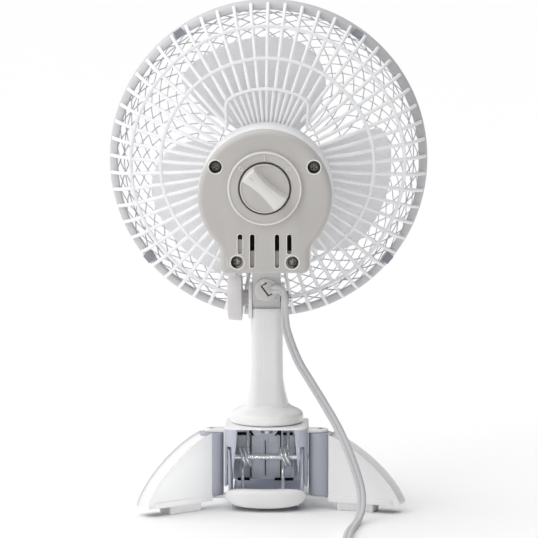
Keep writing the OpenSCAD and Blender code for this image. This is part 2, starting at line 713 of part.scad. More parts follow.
// one blade: a twisted sheet from the hub to the tip, as a closed grid
module blade_sheet(t) {
    nr = 8;
    na = 10;
    function radius(i) = mix(hub_r - 1.5, blade_r, i / nr);
    // angle from the blade's middle, clockwise seen from the rear
    function angle(i, j) = mix(-mix(34, 44, i / nr), mix(34, 44, i / nr), j / na);
    // the outer edge falls away at the clockwise end
    function trimmed(i, j) = radius(i) - (i / nr) * 8 * pow(max(0, (j / na - 0.7) / 0.3), 1.5);
    function height(i, j) = mix(blade_y[0], blade_y[1] - t, j / na)
        + 3 * sin(180 * j / na) * (i / nr);
    function point(i, j, y) = [trimmed(i, j) * sin(angle(i, j)), height(i, j) + y,
                               trimmed(i, j) * cos(angle(i, j))];
    top = [for (i = [0 : nr]) for (j = [0 : na]) point(i, j, t)];
    low = [for (i = [0 : nr]) for (j = [0 : na]) point(i, j, 0)];
    m = len(top);
    function id(i, j) = i * (na + 1) + j;
    faces = concat(
        [for (i = [0 : nr - 1]) for (j = [0 : na - 1])
            each [[id(i, j), id(i, j + 1), id(i + 1, j + 1)], [id(i, j), id(i + 1, j + 1), id(i + 1, j)]]],
        [for (i = [0 : nr - 1]) for (j = [0 : na - 1])
            each [[m + id(i, j), m + id(i + 1, j + 1), m + id(i, j + 1)],
                  [m + id(i, j), m + id(i + 1, j), m + id(i + 1, j + 1)]]],
        [for (j = [0 : na - 1]) each [[id(0, j), m + id(0, j), m + id(0, j + 1)],
                                      [id(0, j), m + id(0, j + 1), id(0, j + 1)],
                                      [id(nr, j), m + id(nr, j + 1), m + id(nr, j)],
                                      [id(nr, j), id(nr, j + 1), m + id(nr, j + 1)]]],
        [for (i = [0 : nr - 1]) each [[id(i, 0), m + id(i + 1, 0), m + id(i, 0)],
                                      [id(i, 0), id(i + 1, 0), m + id(i + 1, 0)],
                                      [id(i, na), m + id(i, na), m + id(i + 1, na)],
                                      [id(i, na), m + id(i + 1, na), id(i + 1, na)]]]);
    polyhedron(concat(top, low), faces, convexity = 6);
}

module fan_blade() {
    color([0.86, 0.86, 0.88, 0.8]) difference() {
        union() {
            difference() {
                ring_y(hub_y[0], hub_y[1], hub_r, 0);
                ring_y(hub_y[0] - 1, hub_y[1] - 2.5, hub_r - 2, 0);
            }
            ring_y(hub_y[0], hub_y[1], 6, 0);
            for (k = [0 : blade_count - 1])
                translate([0, 0, axis_z]) rotate([0, k * 360 / blade_count - 12, 0]) blade_sheet(1.8);
        }
        ring_y(hub_y[0] - 1, hub_y[1] + 1, shaft_r, 0);
    }
}

module blade_nut() {
    color("white") difference() {
        ring_y(hub_y[1], hub_y[1] + 6, 6, 0);
        ring_y(hub_y[1] - 1, hub_y[1] + 4, shaft_r, 0);
    }
}

// ---------- cord ----------

module strain_relief() {
    color([0.78, 0.77, 0.75]) difference() {
        union() {
            ring_y(neck_rear_y - 2.4, neck_rear_y, 7.2, 0, bushing_z);
            ring_y(neck_rear_y - eps, neck_rear_y + 3, 5, 0, bushing_z);
        }
        ring_y(neck_rear_y - 3, neck_rear_y + 4, cord_w / 2, 0, bushing_z);
    }
}

module supply_cord_upper() { color("gainsboro") tube(smooth(upper_route, 2), cord_r); }
module supply_cord_lower() { color("gainsboro") tube(smooth(lower_route, 2), cord_r); }

module cord_coil() {
    color("gainsboro") translate([coil_at[0], coil_at[1], 0])
        rotate_extrude() translate([coil_mean_r - coil_half_w, 0]) square([2 * coil_half_w, coil_h]);
}

module plug_body() {
    color("gainsboro") translate(plug_at) rotate([0, -90, 0]) union() {
        cylinder(r1 = 3.4, r2 = 5, h = 14);
        translate([0, 0, 14 - eps]) linear_extrude(24) round_square(12, 20, 4);
    }
}

module plug_pins() {
    color("goldenrod") translate(plug_at) rotate([0, -90, 0])
        for (s = [-1, 1]) translate([0, s * 6.35, 38]) linear_extrude(16) square([6.3, 1.5], center = true);
}

clip_housing();
clip_pin();
clip_spring_left();
clip_spring_right();
upper_grip_pad();
leg_pins();
lower_jaw();
lower_grip_pad();
front_foot();
leg_left();
leg_pad_left();
leg_right();
leg_pad_right();
post();
swivel_screw();
swivel_washer();
tilt_nut();
tilt_lock_knob();
tilt_bolt();
motor_housing();
rear_cover();
cover_screws();
dial_ring();
speed_switch();
stator_core();
stator_coil();
front_bracket();
rear_bracket();
front_bearing();
rear_bearing();
bracket_screws();
rear_grille();
grille_screws();
front_grille();
grille_badge();
rim_clips();
strain_relief();
speed_knob();
rotor_core();
motor_shaft();
fan_blade();
blade_nut();
supply_cord_upper();
supply_cord_lower();
cord_coil();
plug_body();
plug_pins();
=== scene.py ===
# Looks of the clip-on desk fan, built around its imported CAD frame.
# Lengths here are in millimetres unless a name says otherwise; MM turns them into metres.
from math import acos, asin, atan2, cos, degrees, pi, radians, sin, sqrt

import bmesh
import bpy
import numpy as np
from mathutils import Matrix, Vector


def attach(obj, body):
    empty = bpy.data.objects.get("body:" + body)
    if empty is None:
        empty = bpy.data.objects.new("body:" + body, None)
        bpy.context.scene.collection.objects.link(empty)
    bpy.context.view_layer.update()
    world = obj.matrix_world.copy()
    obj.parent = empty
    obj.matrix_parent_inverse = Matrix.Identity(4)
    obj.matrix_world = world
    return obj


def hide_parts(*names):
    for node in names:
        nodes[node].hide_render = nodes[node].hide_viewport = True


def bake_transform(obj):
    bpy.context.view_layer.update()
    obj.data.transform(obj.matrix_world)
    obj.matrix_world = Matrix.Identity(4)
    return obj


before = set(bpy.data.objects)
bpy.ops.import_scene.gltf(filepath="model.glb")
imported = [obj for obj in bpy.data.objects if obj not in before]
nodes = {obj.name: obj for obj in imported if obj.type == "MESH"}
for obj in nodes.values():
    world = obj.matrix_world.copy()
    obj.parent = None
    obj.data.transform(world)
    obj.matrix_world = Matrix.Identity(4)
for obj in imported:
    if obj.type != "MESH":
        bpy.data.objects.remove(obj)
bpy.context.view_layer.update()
scene = bpy.context.scene

MM = 0.001

# measures of the design
AXIS_Z = 209.5
RIM_R = 98.5
CIRCLE_Z = AXIS_Z - 13.5
CIRCLE_R = 40.5
BLOCK_HALF = 27.0
BLOCK_Z = AXIS_Z - 59.9
DIAL_Z = AXIS_Z - 7.8
DIAL_AT = (0, 0, DIAL_Z)
KNOB_TURN = -48.0
COVER_Y = -48.0
SPLIT_Y = -38.0
HEAD_Y = -45.4
PIVOT_Z = 128.0
SCREWS = [(-29.7, AXIS_Z + 5.0), (29.7, AXIS_Z + 5.0), (-16.6, AXIS_Z - 52.9), (16.6, AXIS_Z - 52.9)]
SLOTS = [(-14.9, 12.3), (-7.5, 20.7), (7.5, 20.7), (14.9, 12.3)]
SLOT_TOP = AXIS_Z - 35.8
ROOF_Z = 51.0
FOOT_Z = 51.3
BOX_HALF = 25.5
PIN_Y, PIN_Z = -5.0, 29.5
HINGE_X, HINGE_Y = 33.5, -14.0
LEFT_SWEEP, RIGHT_SWEEP = 39.0, 18.0
LEG_LEN = 52.0
ROUGH_SWING = 0.06


# ---------- camera ----------

def look_at(obj, target):
    obj.rotation_euler = (Vector(target) - obj.location).to_track_quat("-Z", "Y").to_euler()


def add_camera(azimuth, elevation, distance, target, lens):
    a, e = radians(azimuth), radians(elevation)
    back = Vector((sin(a) * cos(e), -cos(a) * cos(e), sin(e)))
    camera = bpy.data.objects.new("camera", bpy.data.cameras.new("camera"))
    scene.collection.objects.link(camera)
    camera.location = Vector(target) + back * distance
    look_at(camera, target)
    camera.data.lens = lens
    camera.data.sensor_width = 36.0
    camera.data.clip_start = 0.05
    camera.data.clip_end = 40.0
    scene.camera = camera


add_camera(1.53, 7.97, 3.0, (0.00133, 0.0, 0.14586), 327.0)


# ---------- mesh helpers: each shape is (points in mm, faces) ----------

def join(*shapes):
    points, faces, base = [], [], 0
    for p, f in shapes:
        p = np.asarray(p, float)
        points.append(p)
        faces += [tuple(i + base for i in face) for face in f]
        base += len(p)
    return np.concatenate(points), faces


def moved(shape, by):
    return np.asarray(shape[0], float) + np.asarray(by, float), shape[1]


def turned(shape, angle, axis="z", about=(0, 0, 0)):
    """Shape turned by an angle in degrees about an axis through a point."""
    c, s = cos(radians(angle)), sin(radians(angle))
    m = {"x": [[1, 0, 0], [0, c, -s], [0, s, c]],
         "y": [[c, 0, s], [0, 1, 0], [-s, 0, c]],
         "z": [[c, -s, 0], [s, c, 0], [0, 0, 1]]}[axis]
    about = np.asarray(about, float)
    return (np.asarray(shape[0], float) - about) @ np.array(m).T + about, shape[1]


def loft(rings, closed=False, caps=True):
    """Skin over rings of as many points each."""
    rings = [np.asarray(r, float) for r in rings]
    m, n = len(rings), len(rings[0])
    faces = []
    for i in range(m if closed else m - 1):
        j = (i + 1) % m
        for k in range(n):
            q = (k + 1) % n
            faces.append((i * n + k, i * n + q, j * n + q, j * n + k))
    if caps and not closed:
        faces.append(tuple(range(n - 1, -1, -1)))
        faces.append(tuple((m - 1) * n + k for k in range(n)))
    return np.concatenate(rings), faces


def arc(x, y, r, start, end, n):
    """Points of an arc about (x, y), from one angle to another in degrees."""
    return [(x + r * cos(radians(a)), y + r * sin(radians(a))) for a in np.linspace(start, end, n)]


def lathe(profile, n=96, axis="y", at=None):
    """Profile of (radius, height) turned about an axis; one that starts off the axis closes on itself."""
    steps = np.linspace(0, 2 * pi, n, endpoint=False)
    circle = [np.sin(steps), np.cos(steps)] if axis == "y" else [np.cos(steps), np.sin(steps)]
    circle = np.stack(circle, 1)
    place = {"x": on_x, "y": on_y, "z": on_z}[axis]
    closed = profile[0][0] > 0
    shape = loft([place(max(r, 1e-4) * circle, h) for r, h in profile], closed=closed, caps=not closed)
    return moved(shape, at) if at else shape


def spline(points, steps=8, closed=False):
    """Smooth curve through the points."""
    p = np.asarray(points, float)
    n = len(p)
    out = []
    for i in range(n if closed else n - 1):
        if closed:
            a, b, c, d = (p[(i + k) % n] for k in (-1, 0, 1, 2))
        else:
            a, b, c, d = p[max(i - 1, 0)], p[i], p[i + 1], p[min(i + 2, n - 1)]
        for t in np.arange(steps) / steps:
            out.append(0.5 * (2 * b + (c - a) * t + (2 * a - 5 * b + 4 * c - d) * t * t
                              + (3 * b - a - 3 * c + d) * t ** 3))
    if not closed:
        out.append(p[-1])
    return np.array(out)


def resample(points, gap):
    p = np.asarray(points, float)
    s = np.concatenate([[0], np.cumsum(np.linalg.norm(np.diff(p, axis=0), axis=1))])
    u = np.linspace(0, s[-1], max(2, int(round(s[-1] / gap)) + 1))
    return np.stack([np.interp(u, s, p[:, k]) for k in range(p.shape[1])], 1)


def length_of(points):
    return float(np.linalg.norm(np.diff(np.asarray(points, float), axis=0), axis=1).sum())


def sweep(path, section, wide, closed=False, scale=None):
    """Section of (across, through) points along a path; wide is the across direction, one or one a point."""
    path = np.asarray(path, float)
    n = len(path)
    t = np.roll(path, -1, 0) - np.roll(path, 1, 0) if closed else np.gradient(path, axis=0)
    t /= np.linalg.norm(t, axis=1)[:, None]
    wide = np.asarray(wide, float)
    if wide.ndim == 1:
        wide = np.tile(wide, (n, 1))
    u = wide - (wide * t).sum(1)[:, None] * t
    u /= np.linalg.norm(u, axis=1)[:, None]
    v = np.cross(t, u)
    section = np.asarray(section, float)
    scale = np.ones(n) if scale is None else np.asarray(scale, float)
    rings = [path[i] + scale[i] * (section[:, :1] * u[i] + section[:, 1:] * v[i]) for i in range(n)]
    return loft(rings, closed=closed, caps=not closed)


def ellipse(a, b, n=10, power=2.0):
    t = np.linspace(0, 2 * pi, n, endpoint=False)
    c, s = np.cos(t), np.sin(t)
    return np.stack([a * np.sign(c) * np.abs(c) ** (2 / power), b * np.sign(s) * np.abs(s) ** (2 / power)], 1)


def round_rect(w, d, r, n=6):
    """Outline of a rectangle with round corners, counter-clockwise."""
    out = []
    for cx, cy, a0 in ((1, 1, 0), (-1, 1, 90), (-1, -1, 180), (1, -1, 270)):
        for k in range(n + 1):
            a = radians(a0 + 90 * k / n)
            out.append((cx * (w / 2 - r) + r * cos(a), cy * (d / 2 - r) + r * sin(a)))
    return np.array(out)


def offset(outline, d):
    """Closed outline grown by d along its normals."""
    p = np.asarray(outline, float)
    t = np.roll(p, -1, 0) - np.roll(p, 1, 0)
    t /= np.linalg.norm(t, axis=1)[:, None]
    return p + d * np.stack([t[:, 1], -t[:, 0]], 1)


def pillow(outline, low, high, place, edge_low, edge_high, steps=3):
    """Outline pushed from low to high with rounded edges; place(points, height) sets its plane."""
    quarter = [pi / 2 * k / steps for k in range(steps + 1)]
    rings = [place(offset(outline, -edge_low * (1 - sin(a))), low + edge_low * (1 - cos(a)))
             for a in (quarter if edge_low else [0])]
    rings += [place(offset(outline, -edge_high * (1 - cos(a))), high - edge_high * (1 - sin(a)))
              for a in (quarter if edge_high else [0])]
    return loft(rings)


def on_x(points, x):
    return np.insert(np.asarray(points, float), 0, x, axis=1)


def on_y(points, y):
    return np.insert(np.asarray(points, float), 1, y, axis=1)


def on_z(points, z):
    return np.insert(np.asarray(points, float), 2, z, axis=1)


def slab_y(outline, low, high):
    """Straight prism along Y over an outline in X and Z."""
    return loft([on_y(outline, y) for y in (low, high)])


def block(one, other):
    """Box between two opposite corners."""
    (a, b, c), (d, e, f) = np.minimum(one, other), np.maximum(one, other)
    points = [(x, y, z) for x in (a, d) for y in (b, e) for z in (c, f)]
    faces = [(0, 1, 3, 2), (4, 6, 7, 5), (0, 4, 5, 1), (2, 3, 7, 6), (0, 2, 6, 4), (1, 5, 7, 3)]
    return np.array(points, float), faces


def bare_object(name, shape):
    mesh = bpy.data.meshes.new(name)
    points, faces = shape
    mesh.from_pydata((np.asarray(points, float) * MM).tolist(), [], [tuple(int(i) for i in f) for f in faces])
    bm = bmesh.new()
    bm.from_mesh(mesh)
    bmesh.ops.remove_doubles(bm, verts=bm.verts, dist=1e-6)
    bmesh.ops.recalc_face_normals(bm, faces=bm.faces)
    bm.to_mesh(mesh)
    bm.free()
    obj = bpy.data.objects.new(name, mesh)
    scene.collection.objects.link(obj)
    return obj


def soften(obj, width, segments=3, angle=35):
    """Rounds the sharp edges."""
    bevel = obj.modifiers.new("round_edges", "BEVEL")
    bevel.width = width * MM
    bevel.segments = segments
    bevel.limit_method = "ANGLE"
    bevel.angle_limit = radians(angle)
    bevel.use_clamp_overlap = True
    return obj


def settle(obj):
    """Applies the modifiers."""
    depsgraph = bpy.context.evaluated_depsgraph_get()
    mesh = bpy.data.meshes.new_from_object(obj.evaluated_get(depsgraph))
    obj.modifiers.clear()
    obj.data = mesh
    return obj


def carve(obj, cutters):
    """Cuts the shapes out of obj, all in one go."""
    tool = bare_object("cutter", join(*cutters))
    boolean = obj.modifiers.new("cut", "BOOLEAN")
    boolean.operation = "DIFFERENCE"
    boolean.solver = "EXACT"
    boolean.use_self = True
    boolean.object = tool
    settle(obj)
    bpy.data.objects.remove(tool)
    return obj


def shape_of(obj):
    return (np.array([v.co for v in obj.data.vertices]) / MM, [tuple(p.vertices) for p in obj.data.polygons])


def piece(obj, finish, body, replaces=(), smooth=32, slot="white_plastic"):
    """Gives a piece its material, shading and body; the slot is not used."""
    mesh = obj.data
    mesh.materials.clear()
    mesh.materials.append(finish)
    mesh.polygons.foreach_set("use_smooth", [True] * len(mesh.polygons))
    mesh.set_sharp_from_angle(angle=radians(smooth))
    if body:
        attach(obj, body)
    if replaces:
        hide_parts(*replaces)
    return obj


def new_piece(name, shape, finish, body, *described, **named):
    return piece(bare_object(name, shape), finish, body, *described, **named)


# ---------- materials ----------

def linear(rgb):
    return tuple((c / 12.92 if c <= 0.04045 else ((c + 0.055) / 1.055) ** 2.4)
                 for c in (v / 255 for v in rgb)) + (1.0,)


def add_node(tree, kind, **values):
    """New shader node; an underscore in an input's name stands for a blank."""
    node = tree.nodes.new("ShaderNode" + kind)
    for name, value in values.items():
        node.inputs[name.replace("_", " ")].default_value = value
    return node


def add_ramp(tree, factor, *stops):
    """Colour ramp with two stops of (position, colour)."""
    ramp = add_node(tree, "ValToRGB")
    for element, (position, rgb) in zip(ramp.color_ramp.elements, stops):
        element.position = position
        element.color = (*rgb, 1)
    tree.links.new(factor, ramp.inputs["Fac"])
    return ramp.outputs["Color"]


def material(name, rgb, rough=0.4, tone=0.015, bump=0.05, grain=1200, edge_paling=0.0, metal=0.0, coat=0.0,
             specular=0.5, stretch=(1, 1, 1), subsurface=0.0):
    """Moulded or drawn surface: tone drifts over it, with a fine grain and, where asked, paler edges."""
    m = bpy.data.materials.new(name)
    m.use_nodes = True
    tree = m.node_tree
    link = tree.links.new
    shader = tree.nodes["Principled BSDF"]
    own = {"Metallic": metal, "Specular IOR Level": specular}
    if coat:
        own.update({"Coat Weight": coat, "Coat Roughness": 0.12})
    if subsurface:
        own.update({"Subsurface Weight": subsurface, "Subsurface Radius": (0.004, 0.004, 0.0045),
                    "Subsurface Scale": 1.0})
    for key, value in own.items():
        shader.inputs[key].default_value = value
    place = add_node(tree, "TexCoord")
    mapping = add_node(tree, "Mapping", Scale=stretch)
    link(place.outputs["Object"], mapping.inputs["Vector"])
    cloud = add_node(tree, "TexNoise", Scale=38.0, Detail=4.0)
    fine = add_node(tree, "TexNoise", Scale=grain, Detail=3.0)
    for texture in (cloud, fine):
        link(mapping.outputs["Vector"], texture.inputs["Vector"])
    base = np.array(linear(rgb)[:3])
    colour = add_ramp(tree, cloud.outputs["Fac"], (0.3, np.clip(base * (1 - tone), 0, 1)),
                      (0.7, np.clip(base * (1 + tone), 0, 1)))
    if edge_paling:
        geometry = add_node(tree, "NewGeometry")
        edge = add_ramp(tree, geometry.outputs["Pointiness"], (0.52, (0, 0, 0)), (0.62, (edge_paling, edge_paling, edge_paling)))
        mix = add_node(tree, "Mix")
        mix.data_type = "RGBA"
        mix.inputs["B"].default_value = (*np.clip(base * 1.25 + 0.04, 0, 1), 1)
        link(edge, mix.inputs["Factor"])
        link(colour, mix.inputs["A"])
        colour = mix.outputs["Result"]
    link(colour, shader.inputs["Base Color"])
    swing = add_node(tree, "MapRange", To_Min=max(rough - ROUGH_SWING, 0.02), To_Max=rough + ROUGH_SWING)
    link(fine.outputs["Fac"], swing.inputs["Value"])
    link(swing.outputs["Result"], shader.inputs["Roughness"])
    relief = add_node(tree, "Bump", Strength=bump, Distance=0.0002)
    link(fine.outputs["Fac"], relief.inputs["Height"])
    link(relief.outputs["Normal"], shader.inputs["Normal"])
    return m


WHITE = material("white_abs", (238, 238, 238), 0.3, tone=0.012, grain=1400, edge_paling=0.5, coat=0.15)
GRILLE = material("white_grille", (248, 248, 250), 0.33, tone=0.012, bump=0.04)
# white plastic of the rims, painted darker as shade
RIM_SHADED = material("white_rim_painted_shade", (202, 202, 204), 0.42, tone=0.02)
# white plastic of the front grille, painted greyer as the shade on its ribs' sides
SCREEN_SHADED = material("front_grille_white_painted_shade", (222, 223, 228), tone=0.02, bump=0.04)
GREY = material("grey_abs", (193, 190, 187), 0.46, bump=0.12, grain=2600, edge_paling=0.35)
DIAL = material("dial_abs", (200, 197, 194), 0.44, bump=0.1, grain=2600, edge_paling=0.35)
# pale colour of the dial's raised marks and bead; on the grey cover's lips it is a painted highlight
MARK_AND_LIP_HIGHLIGHT = material("dial_marks_and_lip_highlight", (236, 234, 231), tone=0.01, grain=1400)
KNOB = material("knob_abs", (200, 197, 194), 0.3, grain=1600, edge_paling=0.6, coat=0.3)
# the knob's own plastic, painted lighter on the grip as a highlight
GRIP_HIGHLIGHT = material("knob_grip_abs_painted_highlight", (226, 224, 220), 0.28, grain=1600, edge_paling=0.6, coat=0.3)
# white plastic of the neck, painted grey as shade under the housing
NECK_SHADED = material("neck_abs_painted_shade", (202, 200, 200), 0.45, bump=0.1, grain=2200, edge_paling=0.2)
LOCK = material("tilt_knob_abs", (214, 211, 212), bump=0.06, grain=1300, edge_paling=0.4)
BLADE = material("blade_pp", (252, 251, 253), 0.28, tone=0.012, bump=0.03, grain=700, coat=0.15,
                 subsurface=0.12)
# white plastic of the clip box and the lower jaw's ears, painted lavender-grey as shade
BOX_SHADED = material("clip_box_white_painted_shade", (190, 193, 205), edge_paling=0.4)
BOX_INSIDE = material("clip_box_inside", (244, 246, 255), 0.5, tone=0.02, bump=0.06)
SHADE = material("slot_shade", (24, 24, 28), 0.8, tone=0.05, specular=0.1)
# white plastic of the lower jaw, painted grey-blue as shade inside the box
JAW_SHADED = material("jaw_grey_painted_shade", (206, 209, 221), 0.5, tone=0.02)
# white plastic of the legs' hinge barrels, painted grey-blue as shade
BARREL_SHADED = material("hinge_abs_painted_shade", (174, 177, 188), 0.42)
CLIP = material("rim_clip_grey", (150, 152, 160), tone=0.08, bump=0.1, grain=1400)
RUBBER = material("dark_rubber", (72, 72, 74), 0.72, tone=0.06, bump=0.3, grain=1800, specular=0.3)
PALE_RUBBER = material("pale_rubber", (234, 234, 234), 0.6, tone=0.03, bump=0.25, grain=1500, specular=0.3)
CORD = material("cord_pvc", (198, 197, 200), 0.38, tone=0.02, bump=0.08, grain=1100, coat=0.1)
SWITCH = material("switch_nylon", (214, 208, 190), 0.5, tone=0.04, bump=0.15, grain=1300)
STEEL = material("zinc_steel", (206, 209, 213), 0.28, tone=0.06, bump=0.08, grain=1800, metal=1.0)
BRIGHT_STEEL = material("bright_steel", (250, 251, 252), 0.2, tone=0.03, grain=1500, metal=0.85)
DARK_STEEL = material("black_zinc_steel", (134, 132, 128), 0.42, tone=0.1, bump=0.2, grain=1500, metal=0.7)
BRASS = material("plug_brass", (206, 178, 112), 0.3, tone=0.06, bump=0.08, grain=1500, metal=1.0)
BRONZE = material("sintered_bronze", (168, 130, 82), 0.5, tone=0.12, bump=0.35, grain=1800, metal=0.9)
ALLOY = material("die_cast_alloy", (170, 172, 174), 0.45, tone=0.08, bump=0.3, grain=900, metal=0.9)
COPPER = material("magnet_wire", (176, 92, 48), 0.35, tone=0.15, bump=0.5, grain=500, metal=0.8,
                  stretch=(1, 14, 1))
LAMINATION = material("motor_steel", (120, 122, 126), 0.45, tone=0.12, bump=0.4, grain=260, metal=0.9,
                      stretch=(0.2, 12, 0.2))


# ---------- cord ----------

LOBE_R, LOBE_X = 1.5, 1.25


def twin_section(n=9):
    """Section of a flat twin lead: two round cores side by side with a groove between."""
    reach = pi - acos(LOBE_X / LOBE_R)
    bend = np.linspace(-reach, reach, n)
    right = np.stack([LOBE_X + LOBE_R * np.cos(bend), LOBE_R * np.sin(bend)], 1)[:-1]
    return np.concatenate([right, -right])


def directions(path, keys):
    """Across directions along a path, smoothly between keys of (share of the path, direction)."""
    at = np.linspace(0, 1, len(path))
    shares = [k[0] for k in keys]
    d = np.stack([np.interp(at, shares, [k[1][i] for k in keys]) for i in range(3)], 1)
    return d / np.linalg.norm(d, axis=1)[:, None]


CORD_JOIN = (15.6, -18, 101.4)
UPPER_ROUTE = [(4, -16.4, 135.2), (7.6, -19.6, 136.2), (10.4, -21.1, 134.4), (11.6, -21.1, 130.6),
               (11.6, -20.3, 125.5), (11.5, -19.4, 119.5), (12.1, -18.8, 113), (13.7, -18.3, 107), CORD_JOIN]
LOWER_ROUTE = [(16.8, -18, 98.2), (20.6, -19.5, 90), (27, -22, 80), (35.5, -27, 67), (44, -34, 53.5),
               (50.5, -41, 40.5), (55.5, -47, 28), (58.5, -52, 18), (59, -58, 9), (57.5, -66, 3.5),
               (55, -78, 1.8), (52.5, -96, 1.7), (51, -118, 1.7), (50, -142, 1.7), (49.5, -162, 1.7),
               (50, -180, 2.4), (52, -194, 2.9)]
COIL_AT = (20, -210)
COIL_R = (34.4, 25.6)
COIL_LAYERS = (3.0, 8.8)
COIL_TURNS = 7.25
PLUG_AT = (-4, -243, 6)


def coil_route():
    """Flat spiral in, up a layer, and spiral out again, clockwise from above."""
    inward, climb, outward = 3.0, 0.35, 3.0
    turns = np.arange(0, COIL_TURNS + 1e-6, 1 / 24)
    points = []
    for t in turns:
        a = -2 * pi * t
        if t <= inward:
            r, z = COIL_R[0] + (COIL_R[1] - COIL_R[0]) * t / inward, COIL_LAYERS[0]
        elif t <= inward + climb:
            s = (t - inward) / climb
            s = s * s * (3 - 2 * s)
            r, z = COIL_R[1], COIL_LAYERS[0] + (COIL_LAYERS[1] - COIL_LAYERS[0]) * s
        else:
            s = min(1, (t - inward - climb) / outward)
            r, z = COIL_R[1] + (COIL_R[0] - COIL_R[1]) * s, COIL_LAYERS[1]
        points.append((COIL_AT[0] + r * cos(a), COIL_AT[1] + r * sin(a), z))
    return points


coil = coil_route()
whole = resample(spline(UPPER_ROUTE + LOWER_ROUTE + coil + [(8, -244.2, 7.4), (0, -243.4, 6.2), PLUG_AT], 6),
                 1.6)
joined_at = int(np.argmin(np.linalg.norm(whole - np.array(CORD_JOIN), axis=1)))
upper_path, lower_path = whole[:joined_at + 1], whole[joined_at:]
lower_length = length_of(lower_path)
laid = length_of(spline([CORD_JOIN] + LOWER_ROUTE, 6)) / lower_length
upper_across = directions(upper_path, [(0, (0.2, 0, 1)), (0.3, (0.1, -0.6, 0.9)), (0.45, (0.5, -0.6, 0.3)),
                                       (0.62, (1, -0.2, 0.1)), (1, (1, -0.15, 0.1))])
lower_across = directions(lower_path, [(0, (1, -0.15, 0.1)), (0.1 * laid, (0.9, -0.2, 0.5)),
                                       (0.45 * laid, (1, 0, 0.5)), (0.6 * laid, (1, 0.1, 0)),
                                       (0.86 * laid, (1, 0, 0)), (laid, (0.2, 0, 1)), (1, (0, 0.15, 1))])

cord_upper = bare_object("cord_upper", sweep(upper_path, twin_section(), upper_across))
piece(cord_upper, CORD, None, ["supply_cord_upper"], smooth=60, slot="cord")
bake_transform(cord_upper)

cord_lower = bare_object("cord_lower", sweep(lower_path, twin_section(), lower_across))
piece(cord_lower, CORD, None, ["supply_cord_lower", "cord_coil"], smooth=60, slot="cord")
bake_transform(cord_lower)


# ---------- plug, tie ----------

def plug_shape():
    sizes = ((0, 6.4, 5.2, 2.4), (0.6, 7.2, 5.8, 2.7), (12, 9.2, 8.4, 3.8), (14.5, 10.4, 11.5, 4.2),
             (16.5, 11.8, 17, 4.4), (18.5, 12, 19.4, 4.4), (30, 12, 20, 4.2), (36.5, 12, 19.6, 4),
             (37.7, 11.4, 18.8, 3.7), (38, 10.4, 17.8, 3.3))
    return moved(loft([on_x(round_rect(d, w, r, 8), -h) for h, w, d, r in sizes]), PLUG_AT)


plug = new_piece("plug", join(plug_shape(), *[
    moved(lathe([(3.2 + 0.35 * k, -2.2 - 2.4 * k), (4.1 + 0.33 * k, -2.3 - 2.4 * k),
                 (4.1 + 0.33 * k, -3.3 - 2.4 * k), (3.2 + 0.35 * k, -3.4 - 2.4 * k)], 32, "x"), PLUG_AT)
    for k in range(4)]),
    CORD, "base", ["plug_body"], smooth=40, slot="cord")
piece(soften(nodes["plug_pins"], 0.35, 2), BRASS, None, slot="brass")


def tie_shape():
    """Twist tie round the coil's turns, with its two ends wound together."""
    outline = spline(round_rect(14.6, 12.4, 2.6, 5) + np.array([sum(COIL_R) / 2, 6.9]), 2, closed=True)
    band = sweep(on_y(outline, 0), ellipse(1.6, 0.4, 8), (0, 1, 0), closed=True)
    t = np.linspace(0, 1, 40)
    twist = [sweep(np.stack([37.3 + 0.7 * np.cos(9 * t + a) + 1.5 * t, -0.9 + 0.7 * np.sin(9 * t + a),
                             7.5 + 4.0 * t], 1), ellipse(0.45, 0.45, 6), (1, 0, 0)) for a in (0, pi)]
    return moved(turned(join(band, *twist), 150), (*COIL_AT, 0))


tie = new_piece("coil_tie", tie_shape(), WHITE, "base", smooth=60, slot="cord")


# ---------- rear grille ----------

def around(shape, angle):
    """Turned clockwise about the blade's axis, as seen from the rear."""
    return turned(shape, angle, "y", (0, 0, AXIS_Z))


REAR_RIBS = 57
PITCH = 360 / REAR_RIBS
VENT_R = (31.0, 46.0)
VENT_HALF = 25.5
VENT_PITCH = 5.1
VENT_SPREAD = 33


def rear_rib(start):
    line = [(start, 1.0), (52, 2.3), (65.5, 8.8), (76, 13.5), (84.3, 17.9), (90, 22.2), (93.4, 26.6),
            (95.4, 30.4), (97.2, 34.0)]
    path = spline([(0, y, r + AXIS_Z) for r, y in line], 4)
    n = len(path)
    scale = np.ones(n)
    scale[0], scale[-1] = 0.7, 0.45
    return sweep(path, ellipse(1.12, 1.2, 10, 2.6), (1, 0, 0), scale=scale)


def ring_of(r, y, across, through, n=180, power=2.4):
    t = np.linspace(0, 2 * pi, n, endpoint=False)
    path = np.stack([r * np.sin(t), np.full(n, y), AXIS_Z + r * np.cos(t)], 1)
    return sweep(path, ellipse(across, through, 8, power), (0, 1, 0), closed=True)


def over_vent(k):
    return abs((k * PITCH + 180) % 360 - 180) < VENT_SPREAD


ribs = [around(rear_rib(VENT_R[1] + 1.5 if over_vent(k) else 34.0), k * PITCH) for k in range(REAR_RIBS)]
rings = [ring_of(65.5, 7.9, 1.3, 1.1), ring_of(84.3, 17.2, 1.3, 1.1)]


def vent_frame():
    """Bead round the vent: up one side, over the arc and down the other."""
    top = VENT_R[1] + 1.4
    corner = 5.0
    side = VENT_HALF - 0.6
    arc_end = degrees(asin((side - corner * 0.8) / top))
    points = [(-side, 22), (-side, 30), (-side, sqrt(top ** 2 - side ** 2) - 2.0)]
    points += [(x, z) for z, x in arc(0, 0, top, -arc_end, arc_end, 17)]
    points += [(-x, z) for x, z in reversed(points[:3])]
    path = spline([(x, 0.7, AXIS_Z + z) for x, z in points], 4)
    return sweep(path, ellipse(1.7, 0.95, 10, 3), (0, 1, 0))


